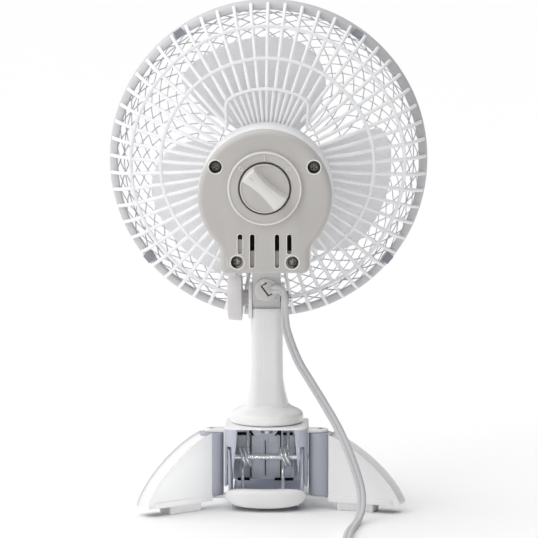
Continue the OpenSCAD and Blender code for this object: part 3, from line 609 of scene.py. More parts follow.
def vent_bars():
    out = []
    for k in range(-6, 7):
        angle = k * VENT_PITCH
        reach = min(VENT_R[1] + 0.6, (VENT_HALF - 1.0) / max(abs(sin(radians(angle))), 0.01))
        path = [(0, 2.8, AXIS_Z + r) for r in (27.0, 36.0, reach)]
        out.append(around(sweep(path, ellipse(1.25, 2.8, 8, 3), (1, 0, 0), scale=[0.88, 0.93, 1.0]), angle))
    return out


new_piece("rear_grille_wires", join(*ribs, *rings, vent_frame(), *vent_bars()), GRILLE, "head",
          ["rear_grille"], smooth=50)

# the rear rim's darker colour is painted shade
rim_profile = [(RIM_R - d, y) for d, y in (
    (5.4, 33.0), (4.6, 32.2), (3.2, 32.6), (1.6, 33.9), (0.5, 35.8), (0.05, 38.2), (0, 42.6), (0.4, 42.95),
    (2.6, 42.95), (3.0, 42.5), (3.4, 38.5), (4.6, 35.2))]
new_piece("rear_rim", lathe(rim_profile, 192, at=(0, 0, AXIS_Z)), RIM_SHADED, "head", smooth=50)


# ---------- housing, cover ----------

def housing_outline(d):
    """Outline of the housing in X and Z, clockwise from the bottom's middle on the right, grown by d."""
    r, half, low, corner, fillet = CIRCLE_R + d, BLOCK_HALF + d, BLOCK_Z - d, 4.0 + max(d, -3.2), 8.0 - d
    zc = CIRCLE_Z - sqrt((r + fillet) ** 2 - (half + fillet) ** 2)
    points = [(x, low) for x in np.linspace(0.0, half - corner, 5)[:-1]]
    points += arc(half - corner, low + corner, corner, -90, 0, 8)
    points += [(half, z) for z in np.linspace(low + corner, zc, 4)[1:-1]]
    points += arc(half + fillet, zc, fillet, 180, degrees(atan2(CIRCLE_Z - zc, -(half + fillet))), 8)
    points += arc(0, CIRCLE_Z, r, degrees(atan2(zc - CIRCLE_Z, half + fillet)), 90, 40)[1:]
    right = np.array(points)
    left = right[1:-1][::-1] * np.array([-1, 1])
    return np.concatenate([right, left])


R_EDGE = 4.0
outer = [(0.0, SPLIT_Y - 0.35), (0.0, COVER_Y + R_EDGE)]
for a in np.linspace(0, 90, 7)[1:]:
    outer.append((-R_EDGE * 0.85 * (1 - cos(radians(a))), COVER_Y + R_EDGE * (1 - sin(radians(a)))))
inner = [(-3.9, COVER_Y + 2.4), (-2.3, COVER_Y + 5), (-2.2, SPLIT_Y - 0.35)]


def tray(outer_steps, inner_steps):
    """A shell with one open side, as one closed surface."""
    rings = [on_y(housing_outline(d), y) for d, y in outer_steps + inner_steps]
    points, faces = loft(rings, caps=False)
    n, m, turn = len(rings[0]), len(rings), len(outer_steps)
    # rear face and its inside, then the mouth's edge
    faces = [f for f in faces if not (min(f) // n == turn - 1 and max(f) // n == turn)]
    faces.append(tuple((turn - 1) * n + k for k in range(n)))
    faces.append(tuple(turn * n + k for k in range(n - 1, -1, -1)))
    for k in range(n):
        q = (k + 1) % n
        faces.append((k, (m - 1) * n + k, (m - 1) * n + q, q))
    return points, faces


def disc_y(x, z, r, y0, y1, n=40):
    return lathe([(0, y0), (r, y0), (r, y1), (0, y1)], n, at=(x, 0, z))


def slot_shape(x, length, half, y0, y1):
    outline = round_rect(2 * half, length, half * 0.98, 8) + np.array([x, SLOT_TOP - length / 2])
    return slab_y(outline, y0, y1)


cover = bare_object("cover", tray(outer, inner))
carve(cover, [disc_y(x, z, 3.9, COVER_Y - 2, -33) for x, z in SCREWS]
      + [slot_shape(x, length, 1.5, COVER_Y - 2, COVER_Y + 8) for x, length in SLOTS]
      + [disc_y(0, DIAL_Z, 15.9, COVER_Y - 2, COVER_Y + 6, 96)])
# tubes behind the screw holes, raised lips round holes and slots, and the knob's well
tubes = [moved(lathe([(3.9, COVER_Y + 0.1), (3.9, -30.2), (1.6, -30.2), (1.6, -28.8), (5.0, -28.8),
                      (5.0, COVER_Y + 2.3), (4.3, COVER_Y + 0.05)], 40), (x, 0, z)) for x, z in SCREWS]
lips = [moved(lathe([(3.85, COVER_Y + 0.3), (3.9, COVER_Y - 0.18), (4.1, COVER_Y - 0.32),
                     (4.45, COVER_Y - 0.3), (4.6, COVER_Y - 0.12), (4.7, COVER_Y + 0.1),
                     (4.4, COVER_Y + 0.5)], 48), (x, 0, z))
        for x, z in SCREWS]
for x, length in SLOTS:
    outline = round_rect(3.3, length + 0.3, 1.63, 8) + np.array([x, SLOT_TOP - length / 2])
    lips.append(sweep(on_y(outline, COVER_Y), ellipse(0.34, 0.28, 8), (0, 1, 0), closed=True))
backs = [block((-17.2, COVER_Y + 3.2, SLOT_TOP - 21.5), (17.2, COVER_Y + 4.4, SLOT_TOP - 10.5)),
         block((-16.6, COVER_Y + 2.3, SLOT_TOP - 12.3), (-13.6, COVER_Y + 3.4, SLOT_TOP - 3.5))]
well = lathe([(15.9, COVER_Y + 0.2), (15.9, -43.6), (15.2, -43.2), (4, -43.2), (4, -41.6), (17.6, -41.6),
              (17.6, COVER_Y + 2.3), (16.4, COVER_Y + 0.1)], at=DIAL_AT)
cover_all = join(shape_of(cover), *tubes, *backs, well)
bpy.data.objects.remove(cover)
new_piece("rear_cover_shell", cover_all, GREY, "head", ["rear_cover"], smooth=30, slot="grey_plastic")
# the lips' pale colour is a painted highlight on the grey cover's edges
new_piece("cover_lips", join(*lips), MARK_AND_LIP_HIGHLIGHT, "head", smooth=40, slot="grey_plastic")

# white front half of the housing, with the neck below it
front_rings = [(-2.0, -0.1), (-0.4, -0.1), (0.2, -0.5), (0.35, -1.2), (0.35, SPLIT_Y + 1.2),
               (0.1, SPLIT_Y + 0.2), (-2.3, SPLIT_Y + 0.2), (-2.3, -2.4)]


def neck_shape():
    half = 8.5
    side = [(-13.5, PIVOT_Z + 0.5), (-9.2, PIVOT_Z - 1.0)] + arc(0, PIVOT_Z, 9, 195, 360, 16)
    side += [(6.5, PIVOT_Z + 8), (3, PIVOT_Z + 12), (3, BLOCK_Z + 1.5), (-13.5, BLOCK_Z + 1.5)]
    side = np.array(side)[::-1]
    return loft([on_x(offset(side, d), x)
                 for x, d in ((-half, -0.5), (-half + 0.5, 0), (half - 0.5, 0), (half, -0.5))])


new_piece("housing", loft([on_y(housing_outline(d), y) for d, y in front_rings]), WHITE, "head",
          ["motor_housing"], smooth=30)
# the neck's grey is painted shade
new_piece("neck", neck_shape(), NECK_SHADED, "head", smooth=30)

# ---------- dial, knob, cover screws ----------

dial_profile = [(22.7, -47.9), (22.75, -48.5), (22.5, -49.5), (22.05, -50.15), (21.5, -50.35), (21.0, -50.2),
                (20.7, -49.85), (20.4, -49.75), (17.0, -49.75), (16.35, -49.6), (15.95, -49.1), (15.9, -47.9)]


def stroke(points, closed=False):
    """Raised line of a digit on the dial, drawn in X and Z."""
    return sweep([(x, -49.82, z) for x, z in points], ellipse(0.5, 0.3, 8), (0, 1, 0), closed=closed)


def digit(shapes, angle):
    return moved(turned(join(*shapes), angle, "y"), DIAL_AT)


t = np.linspace(0, 2 * pi, 24, endpoint=False)
zero = [stroke(np.stack([0.85 * np.cos(t), 18.6 + 1.45 * np.sin(t)], 1), closed=True)]
one = [stroke([(0, 17.1), (0, 18.6), (0, 20.1)]), stroke([(0, 20.1), (-0.35, 19.8), (-0.7, 19.5)]),
       stroke([(-0.6, 17.1), (0, 17.1), (0.6, 17.1)])]
two = [stroke(spline([(-0.85, 19.4), (-0.5, 20.0), (0.2, 20.1), (0.85, 19.5), (0.6, 18.7), (-0.2, 17.9),
                      (-0.9, 17.1)], 4)),
       stroke([(-0.9, 17.1), (0, 17.1), (0.95, 17.1)])]
new_piece("dial", lathe(dial_profile, 128, at=DIAL_AT), DIAL, "head", ["dial_ring"], slot="grey_plastic")
bead = lathe([(21.3, -50.2), (21.45, -50.5), (21.8, -50.62), (22.15, -50.45), (22.3, -50.1), (21.8, -50.0)],
             128, at=DIAL_AT)
new_piece("dial_digits", join(digit(zero, -50), digit(one, 0), digit(two, 51), bead), MARK_AND_LIP_HIGHLIGHT, "head",
          smooth=60, slot="grey_plastic")

knob_disc = lathe([(0, -50.45), (12.9, -50.45), (13.5, -50.55), (13.9, -50.95), (14.35, -51.05),
                   (14.8, -50.85), (15.0, -50.3), (15.0, -46.2), (14.6, -45.9), (3.2, -45.9), (3.0, -45.6),
                   (3.0, -39.0), (0, -39.0)], 128)


def grip_outline(grow, n=13):
    """Waisted bar across the knob, its ends on the disc's circle, grown by a distance."""
    r, end, waist = 14.3 + min(grow, 0.15), 5.3 + grow, 3.7 + grow
    reach = degrees(asin(end / r))
    top = [(x, z) for z, x in arc(0, 0, r, -reach, reach, n)]
    z_end = r * cos(radians(reach))
    z = np.linspace(z_end, -z_end, 2 * n)[1:-1]
    right = [(waist + (end - waist) * (abs(v) / z_end) ** 1.7, v) for v in z]
    low = [(-x, -v) for x, v in top]
    left = [(-x, -v) for x, v in right]
    return np.array(top + right + low + left)[::-1]


grip_rings = [on_y(grip_outline(grow), y) for grow, y in
              ((0.9, -50.4), (0.5, -50.75), (0.2, -51.6), (0.1, -53), (-0.15, -57.5), (-0.3, -58.9),
               (-0.75, -59.65), (-1.6, -59.95))]
pointer = slab_y(round_rect(1.3, 3.4, 0.6, 5) + np.array([0, 10.4]), -59.7, -60.2)
new_piece("speed_knob_disc", moved(knob_disc, DIAL_AT), KNOB, "speed_knob", ["speed_knob"], smooth=34,
          slot="knob_plastic")
# the grip's lighter colour is a painted highlight
for part, shape, finish in (("grip", loft(grip_rings), GRIP_HIGHLIGHT), ("pointer", pointer, KNOB)):
    new_piece("speed_knob_" + part, moved(turned(shape, KNOB_TURN, "y"), DIAL_AT), finish, "speed_knob",
              smooth=34, slot="knob_plastic")


def screw_head():
    head = [(r, HEAD_Y + d) for r, d in
            ((0, 0), (1.6, 0.05), (2.6, 0.35), (3.15, 0.9), (3.3, 1.5), (3.3, 2.2), (1.5, 2.2), (1.4, 2.4))]
    return lathe(head + [(1.3, -14.5), (0.7, -14), (0, -14)], 40)


screws = bare_object("screws", join(*[moved(screw_head(), (x, 0, z)) for x, z in SCREWS]))
cross = []
for k, (x, z) in enumerate(SCREWS):
    for a in (20 + 31 * k, 110 + 31 * k):
        arm = loft([on_y(round_rect(4.4, 1.15, 0.4, 3), HEAD_Y - 1),
                    on_y(round_rect(2.6, 0.8, 0.3, 3), HEAD_Y + 1.7)])
        cross.append(moved(turned(arm, a, "y"), (x, 0, z)))
carve(screws, cross)
piece(screws, DARK_STEEL, "head", ["cover_screws"], smooth=30, slot="dark_steel")


# ---------- front grille ----------

FRONT_LINE = [(22, 57.0), (40, 56.7), (60, 55.2), (78, 53.0), (88, 50.6), (93, 48.8), (96.6, 46.6)]


def bowl_y(r):
    return float(np.interp(r, [p[0] for p in FRONT_LINE], [p[1] for p in FRONT_LINE]))


def spiral(k, count, start_r, end_r, twist, power, sense, thick, deep, n=16):
    """A rib of the front grille whose turn grows outwards as a power of the radius."""
    points = []
    for r in np.linspace(start_r, end_r, n):
        share = (r - start_r) / (end_r - start_r)
        a = 2 * pi * k / count + sense * radians(twist) * share ** power
        points.append((r * sin(a), bowl_y(r) - 1.0, AXIS_Z + r * cos(a)))
    return sweep(points, ellipse(deep, thick, 8, 3), (0, 1, 0))


COUNT = 44
front = [spiral(k, COUNT, 23.5, 96.6, 56, 1.8, -1, 0.36, 0.8) for k in range(COUNT)]
front += [spiral(k + 0.35, COUNT, 46.0, 96.6, 62, 1.9, 1, 0.3, 0.55, 12) for k in range(COUNT)]
front += [ring_of(r, bowl_y(r) - 0.9, 0.5, 0.34, 144) for r in (32, 46, 90)]
front.append(lathe([(25.0, 55.2), (25.0, 56.6), (24.2, 57.2), (22.0, 57.2), (0.1, 57.2), (0.1, 55.2)],
                   at=(0, 0, AXIS_Z)))
# the front grille's greyer colour is painted shade
new_piece("front_grille_wires", join(*front), SCREEN_SHADED, "head", ["front_grille"], smooth=50)
# the front rim's darker colour is painted shade
front_rim = [(RIM_R - d, y) for d, y in (
    (3.6, 43.3), (0.3, 43.1), (0, 43.5), (0, 47.2), (0.6, 48.9), (1.9, 49.9), (3.2, 49.6), (3.9, 48.4),
    (4.0, 44.4))]
new_piece("front_rim", lathe(front_rim, 192, at=(0, 0, AXIS_Z)), RIM_SHADED, "head", smooth=50)
badge = [(0.1, 57.3), (23.4, 57.3), (24.0, 57.8), (24.0, 58.6), (23.3, 59.4), (21.8, 59.75), (20.4, 59.5),
         (19.6, 59.2), (0.1, 59.6)]
new_piece("badge", lathe(badge, at=(0, 0, AXIS_Z)), WHITE, "head", ["grille_badge"])


# ---------- blade ----------

HUB_R, TIP_R = 22.0, 76.2


def blade_point(s, u):
    """Point of the blade's middle sheet: s from hub to tip, u from the leading to the trailing edge."""
    r = HUB_R - 1.0 + (TIP_R - HUB_R + 1.0) * s
    lead = -39 - 11 * min(1, s * 2.2) + 4 * s * s
    trail = 48 - 4 * s - 14 * s ** 3
    a = radians(lead + (trail - lead) * u - 1.0)
    # corners of the tip are rounded
    edge = max(0.0, (u - 0.72) / 0.28) ** 2 * 9 + max(0.0, (0.14 - u) / 0.14) ** 2 * 3.5
    r -= edge * s ** 2
    y = 20.4 + (41.0 - 20.4) * (0.06 + 0.9 * u) + 3.2 * sin(pi * u) * s - 1.2 * s * (1 - u)
    return np.array([r * sin(a), y, r * cos(a)])


def one_blade(ns=22, nu=30, thick=1.7):
    s_values, u_values = np.linspace(0, 1, ns), np.linspace(0, 1, nu)
    mid = np.array([[blade_point(s, u) for u in u_values] for s in s_values])
    ds = np.gradient(mid, axis=0)
    du = np.gradient(mid, axis=1)
    normal = np.cross(ds, du)
    normal /= np.linalg.norm(normal, axis=2)[:, :, None]
    su = np.sin(pi * np.clip(u_values, 0, 1))[None, :] ** 0.35
    ss = np.clip((1.0 - s_values) / 0.12, 0, 1)[:, None] ** 0.4
    half = (thick / 2) * (0.35 + 0.65 * su) * (0.35 + 0.65 * ss)
    a = mid + normal * half[:, :, None]
    b = mid - normal * half[:, :, None]
    return loft([np.concatenate([a[i], b[i][::-1]]) for i in range(ns)])


def hub_shape():
    cup = [(2.5, 17.0), (5.6, 17.0), (6.0, 17.4), (6.0, 35.4), (19.2, 35.4), (19.9, 34.6), (20.0, 17.3),
           (20.3, 17.0), (21.6, 17.0), (22.0, 17.5), (22.0, 35.6), (21.3, 37.3), (19.8, 38.0), (9.5, 38.0),
           (8.6, 37.4), (2.5, 37.4)]
    webs = [turned(block((-0.6, 18.5, 5.8), (0.6, 35.6, 20.2)), 60 * k, "y") for k in range(6)]
    return join(lathe(cup), *webs)


blades = [turned(one_blade(), 120 * k, "y") for k in range(3)]
new_piece("fan_blades", moved(join(hub_shape(), *blades), (0, 0, AXIS_Z)), BLADE, "rotor",
          ["fan_blade"], smooth=40, slot="blade_plastic")

# ---------- post ----------

POST_LEVELS = [(122.5, 8.9, 4.4), (122.3, 9.4, 4.7), (121.7, 9.7, 5.0), (120.8, 9.8, 5.0), (108, 9.8, 5.0),
               (96, 9.8, 5.0), (85, 9.85, 5.1), (80, 10.0, 5.2), (76, 10.3, 5.5), (72, 10.9, 6.0),
               (68.5, 11.7, 6.8), (65.5, 12.4, 7.6), (63.4, 12.9, 8.2), (62.3, 13.0, 8.4), (60.0, 13.0, 8.4)]
column = loft([on_z(round_rect(2 * w, 2 * w, r, 8), z) for z, w, r in reversed(POST_LEVELS)])
foot = lathe([(r, FOOT_Z + h) for r, h in (
    (0, 0), (20.6, 0), (22.0, 0.25), (22.5, 0.9), (22.5, 4.0), (22.35, 4.9), (21.8, 5.9), (20.6, 6.9),
    (18.6, 7.9), (16.2, 9.0), (14.6, 10.1), (13.6, 11.0), (12.6, 11.6), (0, 11.8))], 120, "z")
spigot = lathe([(0, 47.7), (5.9, 47.7), (6.0, 51.6), (0, 51.6)], 48, "z")


def cheek(side):
    """Round-topped ear of the fork."""
    outline = [(-9.6, 116.5), (9.6, 116.5)] + arc(0, PIVOT_Z, 9.9, 0, 180, 25)
    x0, x1 = (8.8, 11.0) if side > 0 else (-11.0, -8.8)
    return pillow(outline, x0, x1, on_x, 0.4, 0.5)


seams = [sweep([(-1.6, -9.84 * s, z) for z in (119.5, 104, 90, 82)], ellipse(0.16, 0.14, 6), (1, 0, 0))
         for s in (1, -1)]
new_piece("post_body", join(column, foot, spigot, cheek(1), cheek(-1), *seams), WHITE, "post",
          ["post"], smooth=34)

knob_lock = [(0, -24.0), (9.6, -24.0), (10.2, -23.75), (12.3, -23.75), (13.1, -23.45), (13.5, -22.8),
             (14.05, -16.2), (13.9, -15.5), (13.3, -15.05), (5.6, -15.0), (5.0, -14.5), (4.9, -11.35),
             (0, -11.35)]
new_piece("tilt_lock", lathe(knob_lock, 96, "x", (0, 0, PIVOT_Z)), LOCK, "tilt_knob", ["tilt_lock_knob"])

# cord bushing: a flange with a notched mouth
BUSH_Z = PIVOT_Z + 6.9
flange = [(0, -15.9), (5.9, -15.9), (6.7, -15.7), (7.15, -15.2), (7.2, -14.4), (7.2, -13.5), (4.9, -13.5),
          (4.9, -10.6), (0, -10.6)]
bushing = bare_object("bushing", lathe(flange, 64, at=(0, 0, BUSH_Z)))
gap_line = np.array([(0.4, -14.4, 4.7), (-2.9, -14.4, 2.5), (1.5, -14.4, -3.4), (5.4, -14.4, -1.2)])
gap_line += np.array([0, 0, BUSH_Z])
carve(bushing, [sweep(gap_line, ellipse(2.0, 0.62, 8, 4), (0, 1, 0))])
# dark strip of painted shade in the bushing's notch
new_piece("bushing_gap_painted_shade", sweep(gap_line + np.array([0, 1.0, 0]), ellipse(0.8, 0.66, 8, 4), (0, 1, 0)),
          RUBBER, "head", smooth=40, slot="rubber")
piece(soften(bushing, 0.25, 2), KNOB, "head", ["strain_relief"], slot="knob_plastic")


# ---------- clip box ----------

def box_outline(d=0.0):
    """Plan of the clip's box: round rear corners, square to the front, anticlockwise."""
    half, rear, front, r = BOX_HALF + d, -26.0 - d, 13.0, 7.0 + d
    right = arc(half - r, rear + r, r, -90, 0, 12) + [(half, -10.0), (half, 0.0), (half, front)]
    left = [(-x, y) for x, y in reversed(right)]
    return np.array(right + left)


shell_rings = [on_z(box_outline(d), z) for d, z in
               ((-0.6, 14.0), (0, 14.3), (0, 30), (0, ROOF_Z - 1.0), (-0.05, ROOF_Z - 0.9))]
hollow = loft([on_z(box_outline(-2.2), z) for z in (5.0, 30.0, ROOF_Z + 1.0)])
roof = loft([on_z(box_outline(d), z) for d, z in
             ((-0.1, ROOF_Z - 1.0), (0.0, ROOF_Z - 0.9), (-0.15, ROOF_Z - 0.55), (-0.6, ROOF_Z - 0.2),
              (-1.4, ROOF_Z))])
clip_box = bare_object("clip_box", loft(shell_rings))
mouth = slab_y([(-17.4, 49.8), (17.4, 49.8), (21.4, 9.0), (-21.4, 9.0)], -40, -12)
ear_slots = [slab_y([(s * 21.2, 39.4), (s * 23.9, 39.4), (s * 24.1, 9.0), (s * 19.2, 9.0)], -40, -17.5)
             for s in (-1, 1)]
for cutters in ([hollow], [mouth], ear_slots):
    carve(clip_box, cutters)
soften(clip_box, 0.5, 3, 40)
settle(clip_box)

# sloping upper jaw in front of the box
JAW_TOP = [(12, ROOF_Z), (40, 39), (60, 27), (60, 22), (44, 22), (36, 27), (14, 27), (12.5, 30)]


def side_slab(x0, x1, outline, edge=0.6):
    return pillow(np.array(outline, float), x0, x1, on_x, edge, edge)


upper = bare_object("upper_jaw", side_slab(-BOX_HALF, BOX_HALF, JAW_TOP[::-1], 1.4))
carve(upper, [side_slab(-BOX_HALF + 2.2, BOX_HALF - 2.2,
                        [(11, 48), (39, 36.5), (57.5, 25.8), (57.5, 24.4), (44.5, 24.4), (36.5, 29.4),
                         (14, 29.4), (11, 29.4)][::-1], 0.4)])

panels = [side_slab(-BOX_HALF + 2.0, BOX_HALF - 2.0, [(8, 13.4), (10.4, 13.4), (10.4, 49.8), (8, 49.8)], 0)]
for x, w in ((-9.2, 0.7), (0.0, 0.5), (9.2, 0.7)):
    panels.append(block((x - w, 5.0 if x else 6.8, 15.5), (x + w, 8.2, 44.5)))
panels.append(block((-9.2, 6.9, 28.5), (9.2, 8.2, 29.3)))
panels.append(block((-9.2, 5.6, 43.8), (9.2, 8.2, 44.8)))
panels += [block((s * 16.5 - 0.5, 4.0, 16), (s * 16.5 + 0.5, 8.2, 41)) for s in (-1, 1)]
panels += [block((s * 9.2, 6.4, 33.6), (s * 23.3, 8.2, 34.4)) for s in (-1, 1)]
boss = slab_y([(-11.5, 49.8), (-8.2, 41.6), (5.4, 41.6), (8.2, 49.8)], 4.0, 8.2)
inside = bare_object("clip_inside", join(*panels, boss))
soften(inside, 0.25, 2)
settle(inside)
# dark plates of painted shade over the box's slots and grooves and beside its boss
shade_plates = [block((x0, 6.0, z0), (x1, 8.05, z1)) for x0, x1, z0, z1 in
            ((-18.4, -12.2, 41.3, 42.8), (6.8, 15.8, 41.3, 42.8), (-18.2, -10.8, 12.9, 14.3),
             (4.6, 16.2, 12.9, 14.3))]
shade_plates.append(block((-1.4, 6.65, 16.0), (-0.85, 6.75, 38.0)))
shade_plates += [slab_y([(x, 46.5), (x + step, 41.4), (x + step + 1.5, 41.4), (x + 1.5, 46.5)], 3.7, 4.05)
             for x, step in ((-13.4, 4.2), (8.6, -4.2))]
shade_plates += [block((x - 0.35, 4.6, 15.0), (x + 0.35, 5.05, 45.0)) for x in (-9.95, 8.45)]
new_piece("clip_box_painted_shade", join(*shade_plates), SHADE, "base", smooth=30)

EAR_R = 4.6
ears = []
for s in (-1, 1):
    for z0, z1 in ((6.2, 8.2), (47.2, 49.2)):
        outline = [(BOX_HALF - 1.6, HINGE_Y - EAR_R), *arc(HINGE_X, HINGE_Y, EAR_R, -90, 90, 15),
                   (BOX_HALF - 1.6, HINGE_Y + EAR_R)]
        outline = np.array(outline) * np.array([s, 1])
        if s < 0:
            outline = outline[::-1]
        ears.append(pillow(outline, z0, z1, on_z, 0.4, 0.6))


# the box shell's lavender-grey is painted shade; its roof plate stays white where light falls on it
new_piece("clip_box_shell", join(shape_of(clip_box), shape_of(upper)), BOX_SHADED, "base",
          ["clip_housing"], smooth=34)
new_piece("clip_box_roof", join(roof, *ears), WHITE, "base", smooth=34)
new_piece("clip_box_panels", shape_of(inside), BOX_INSIDE, "base", smooth=30)
for old in (clip_box, upper, inside):
    bpy.data.objects.remove(old)

# ---------- lower jaw ----------

jaw_floor = side_slab(-20.4, 20.4,
                      [(-26.5, 3), (60, 3), (60, 14.5), (44, 14.5), (37, 9.5), (12, 9.5), (6, 8.2),
                       (-26.5, 8.2)][::-1], 1.2)


def lip_shape():
    """Squeeze lip: bowed in plan and round in section, thicker at its middle."""
    rings = []
    for x in np.linspace(-25.2, 25.2, 33):
        f = abs(x) / 25.2
        end = (1 - f ** 5) ** 0.5 if f < 1 else 0.0
        end = max(end, 0.04)
        bow = -31.2 + 4.2 * f ** 2.2
        height = (5.3 + 0.7 * (1 - f ** 2)) * end
        depth = 4.8 * end
        mid = 8.4 + 0.9 * f ** 2 - 0.3 * (1 - f ** 2)
        section = ellipse(depth, height, 24, 2.5)
        rings.append(np.stack([np.full(24, x), bow + 0.8 + section[:, 0], mid + section[:, 1]], 1))
    return loft(rings)


def tongue(s):
    """Ear of the lower jaw, tapering up to the pin."""
    rear = slab_y([(s * 22.2, 37.2), (s * 23.0, 37.2), (s * 23.0, 8.0), (s * 21.2, 8.0)], -23.6, -19.6)
    outline = [(-13, 6), (6, 6)] + arc(PIN_Y, PIN_Z, 6, 0, 180, 17)
    x0, x1 = (20.9, 22.9) if s > 0 else (-22.9, -20.9)
    foot = block((s * 19.6, -23.6, 4.2), (s * 22.9, -10.0, 8.1))
    return [rear, foot, pillow(outline, x0, x1, on_x, 0.4, 0.4, 2)]


floor_ribs = [block((x - 0.5, -24, 8), (x + 0.5, 5.5, 9.6)) for x in (-13.5, -4.5, 4.5, 13.5)]
jaw = bare_object("lower_jaw_body", join(jaw_floor, *floor_ribs))
jaw_ears = bare_object("lower_jaw_ears", join(*tongue(1), *tongue(-1)))
new_piece("squeeze_lip", lip_shape(), WHITE, "lower_jaw", smooth=40)
for part in (jaw, jaw_ears):
    soften(part, 0.35, 2, 40)
    settle(part)
# the ears' lavender-grey is painted shade
piece(jaw_ears, BOX_SHADED, "lower_jaw", smooth=40)
# the jaw's grey-blue is painted shade
piece(jaw, JAW_SHADED, "lower_jaw", ["lower_jaw"], smooth=40)


# ---------- springs and pin ----------

def torsion_spring(x, hand):
    turns, wire, r = 2.4, 0.98, 5.3
    t = np.linspace(0, 1, int(turns * 26))
    a = radians(70) - 2 * pi * turns * t
    y = PIN_Y + r * np.cos(a)
    z = PIN_Z + r * np.sin(a)
    along = x + hand * (t - 0.5) * turns * 2.5 - 0.3 * r * np.sin(a)
    coil_points = np.stack([along, y, z], 1)
    first, last = coil_points[0], coil_points[-1]
    up = [(first[0], PIN_Y + 9.2, PIN_Z + 15.5), (first[0], PIN_Y + 5.2, PIN_Z + 10)]
    down = [(last[0], PIN_Y - 5.0, PIN_Z - 8.0), (last[0], PIN_Y - 3.4, 11.2), (last[0], PIN_Y - 7.4, 10.2)]
    path = spline(np.concatenate([up, coil_points, down]), 2)
    return sweep(path, ellipse(wire, wire, 10), (1, 0.02, 0.01))


new_piece("spring_left", torsion_spring(-13.2, -1), BRIGHT_STEEL, "base", ["clip_spring_left"], smooth=60,
          slot="steel")
new_piece("spring_right", torsion_spring(11.6, -1), BRIGHT_STEEL, "base", ["clip_spring_right"], smooth=60,
          slot="steel")
pin = lathe([(0, -26.1), (1.4, -26.1), (1.75, -25.8), (1.8, -25.3), (1.7, -25.0), (1.7, 25.0), (1.8, 25.3),
             (1.75, 25.8), (1.4, 26.1), (0, 26.1)], 32, "x", (0, PIN_Y, PIN_Z))
new_piece("hinge_pin", pin, BRIGHT_STEEL, "base", ["clip_pin"], slot="steel")


# ---------- legs ----------

LEG_TOP, LEG_LOW = 47.0, 5.0


def leg_outline():
    """Outline of a leg's panel in reach and height."""
    points = [(0.0, LEG_LOW)]
    for i in range(28):
        f = 1 - i / 27
        points.append((LEG_LEN * f, LEG_LOW + (LEG_TOP - LEG_LOW) * max(0.0, 1 - f ** 1.4) ** (1 / 1.4)))
    points[1] = (points[1][0], LEG_LOW)
    points.insert(2, (points[1][0] - 0.12, LEG_LOW + 1.4))
    return np.array(points)


def leg_shape(start):
    """A leg along +X: its panel from a distance off the hinge, its foot strip and web; then its barrel."""
    outline = leg_outline()[::-1]
    rings = []
    for v, d in ((-6.0, -1.1), (-5.85, -0.55), (-5.45, -0.15), (-5.0, 0), (5.0, 0), (5.45, -0.15),
                 (5.85, -0.55), (6.0, -1.1)):
        p = offset(outline, d)
        p[:, 1] = np.maximum(p[:, 1], LEG_LOW)
        p[:, 0] = np.maximum(p[:, 0], start)
        rings.append(on_y(p, v))
    body = loft(rings)
    strip = []
    for w, z in ((6.5, LEG_LOW), (6.8, LEG_LOW + 0.3), (6.8, LEG_LOW + 3.2), (6.2, LEG_LOW + 3.7)):
        length = LEG_LEN - 1.0 - (0.8 if z > 8 else 0)
        outline_z = [(9.6, -w), (length - 3.0, -w), (length - 0.9, -w + 1.4), (length, -w + 3.6),
                     (length, w - 3.6), (length - 0.9, w - 1.4), (length - 3.0, w), (9.6, w)]
        strip.append(on_z(outline_z, z))
    barrel = lathe([(0, 8.5), (6.7, 8.5), (7.3, 8.9), (7.4, 9.4), (7.4, 46.1), (7.2, 46.7), (6.6, 47.0),
                    (0, 47.0)], 64, "z")
    web = slab_y([(1.0, 9.0), (start + 0.6, 9.0), (start + 0.6, 45.6), (1.0, 46.4)], -3.0, 3.0)
    return join(body, loft(strip), web), barrel


def pad_shape():
    rings = []
    for d, z in ((-0.7, 0.0), (-0.2, 0.25), (0, 0.8), (0, 4.9), (-0.1, 5.0)):
        rings.append(on_z(offset(round_rect(24, 12, 1.4, 5), d) + np.array([24, 0]), z))
    grooves = [sweep([(u, -6.05, 0.35), (u, -6.05, 4.6)], ellipse(0.35, 0.2, 6), (1, 0, 0))
               for u in (16, 20, 24, 28, 32)]
    return join(loft(rings), *grooves)


for side, body, angle, start in ((-1, "leg_left", 180 + LEFT_SWEEP, 4.0),
                                 (1, "leg_right", -RIGHT_SWEEP, 7.0)):
    at = (side * HINGE_X, HINGE_Y, 0)
    panel, barrel = (moved(turned(shape, angle, "z"), at) for shape in leg_shape(start))
    new_piece(body + "_shell", panel, WHITE, body, [body], smooth=34)
    # the barrel's grey-blue is painted shade
    new_piece(body + "_barrel", barrel, BARREL_SHADED, body, smooth=34)
    pad = body.replace("leg_", "leg_pad_")
    new_piece(pad + "_rubber", moved(turned(pad_shape(), angle, "z"), at), PALE_RUBBER, body, [pad],
              smooth=34, slot="white_rubber")


# ---------- CAD nodes that stay: rounded edges and their materials ----------

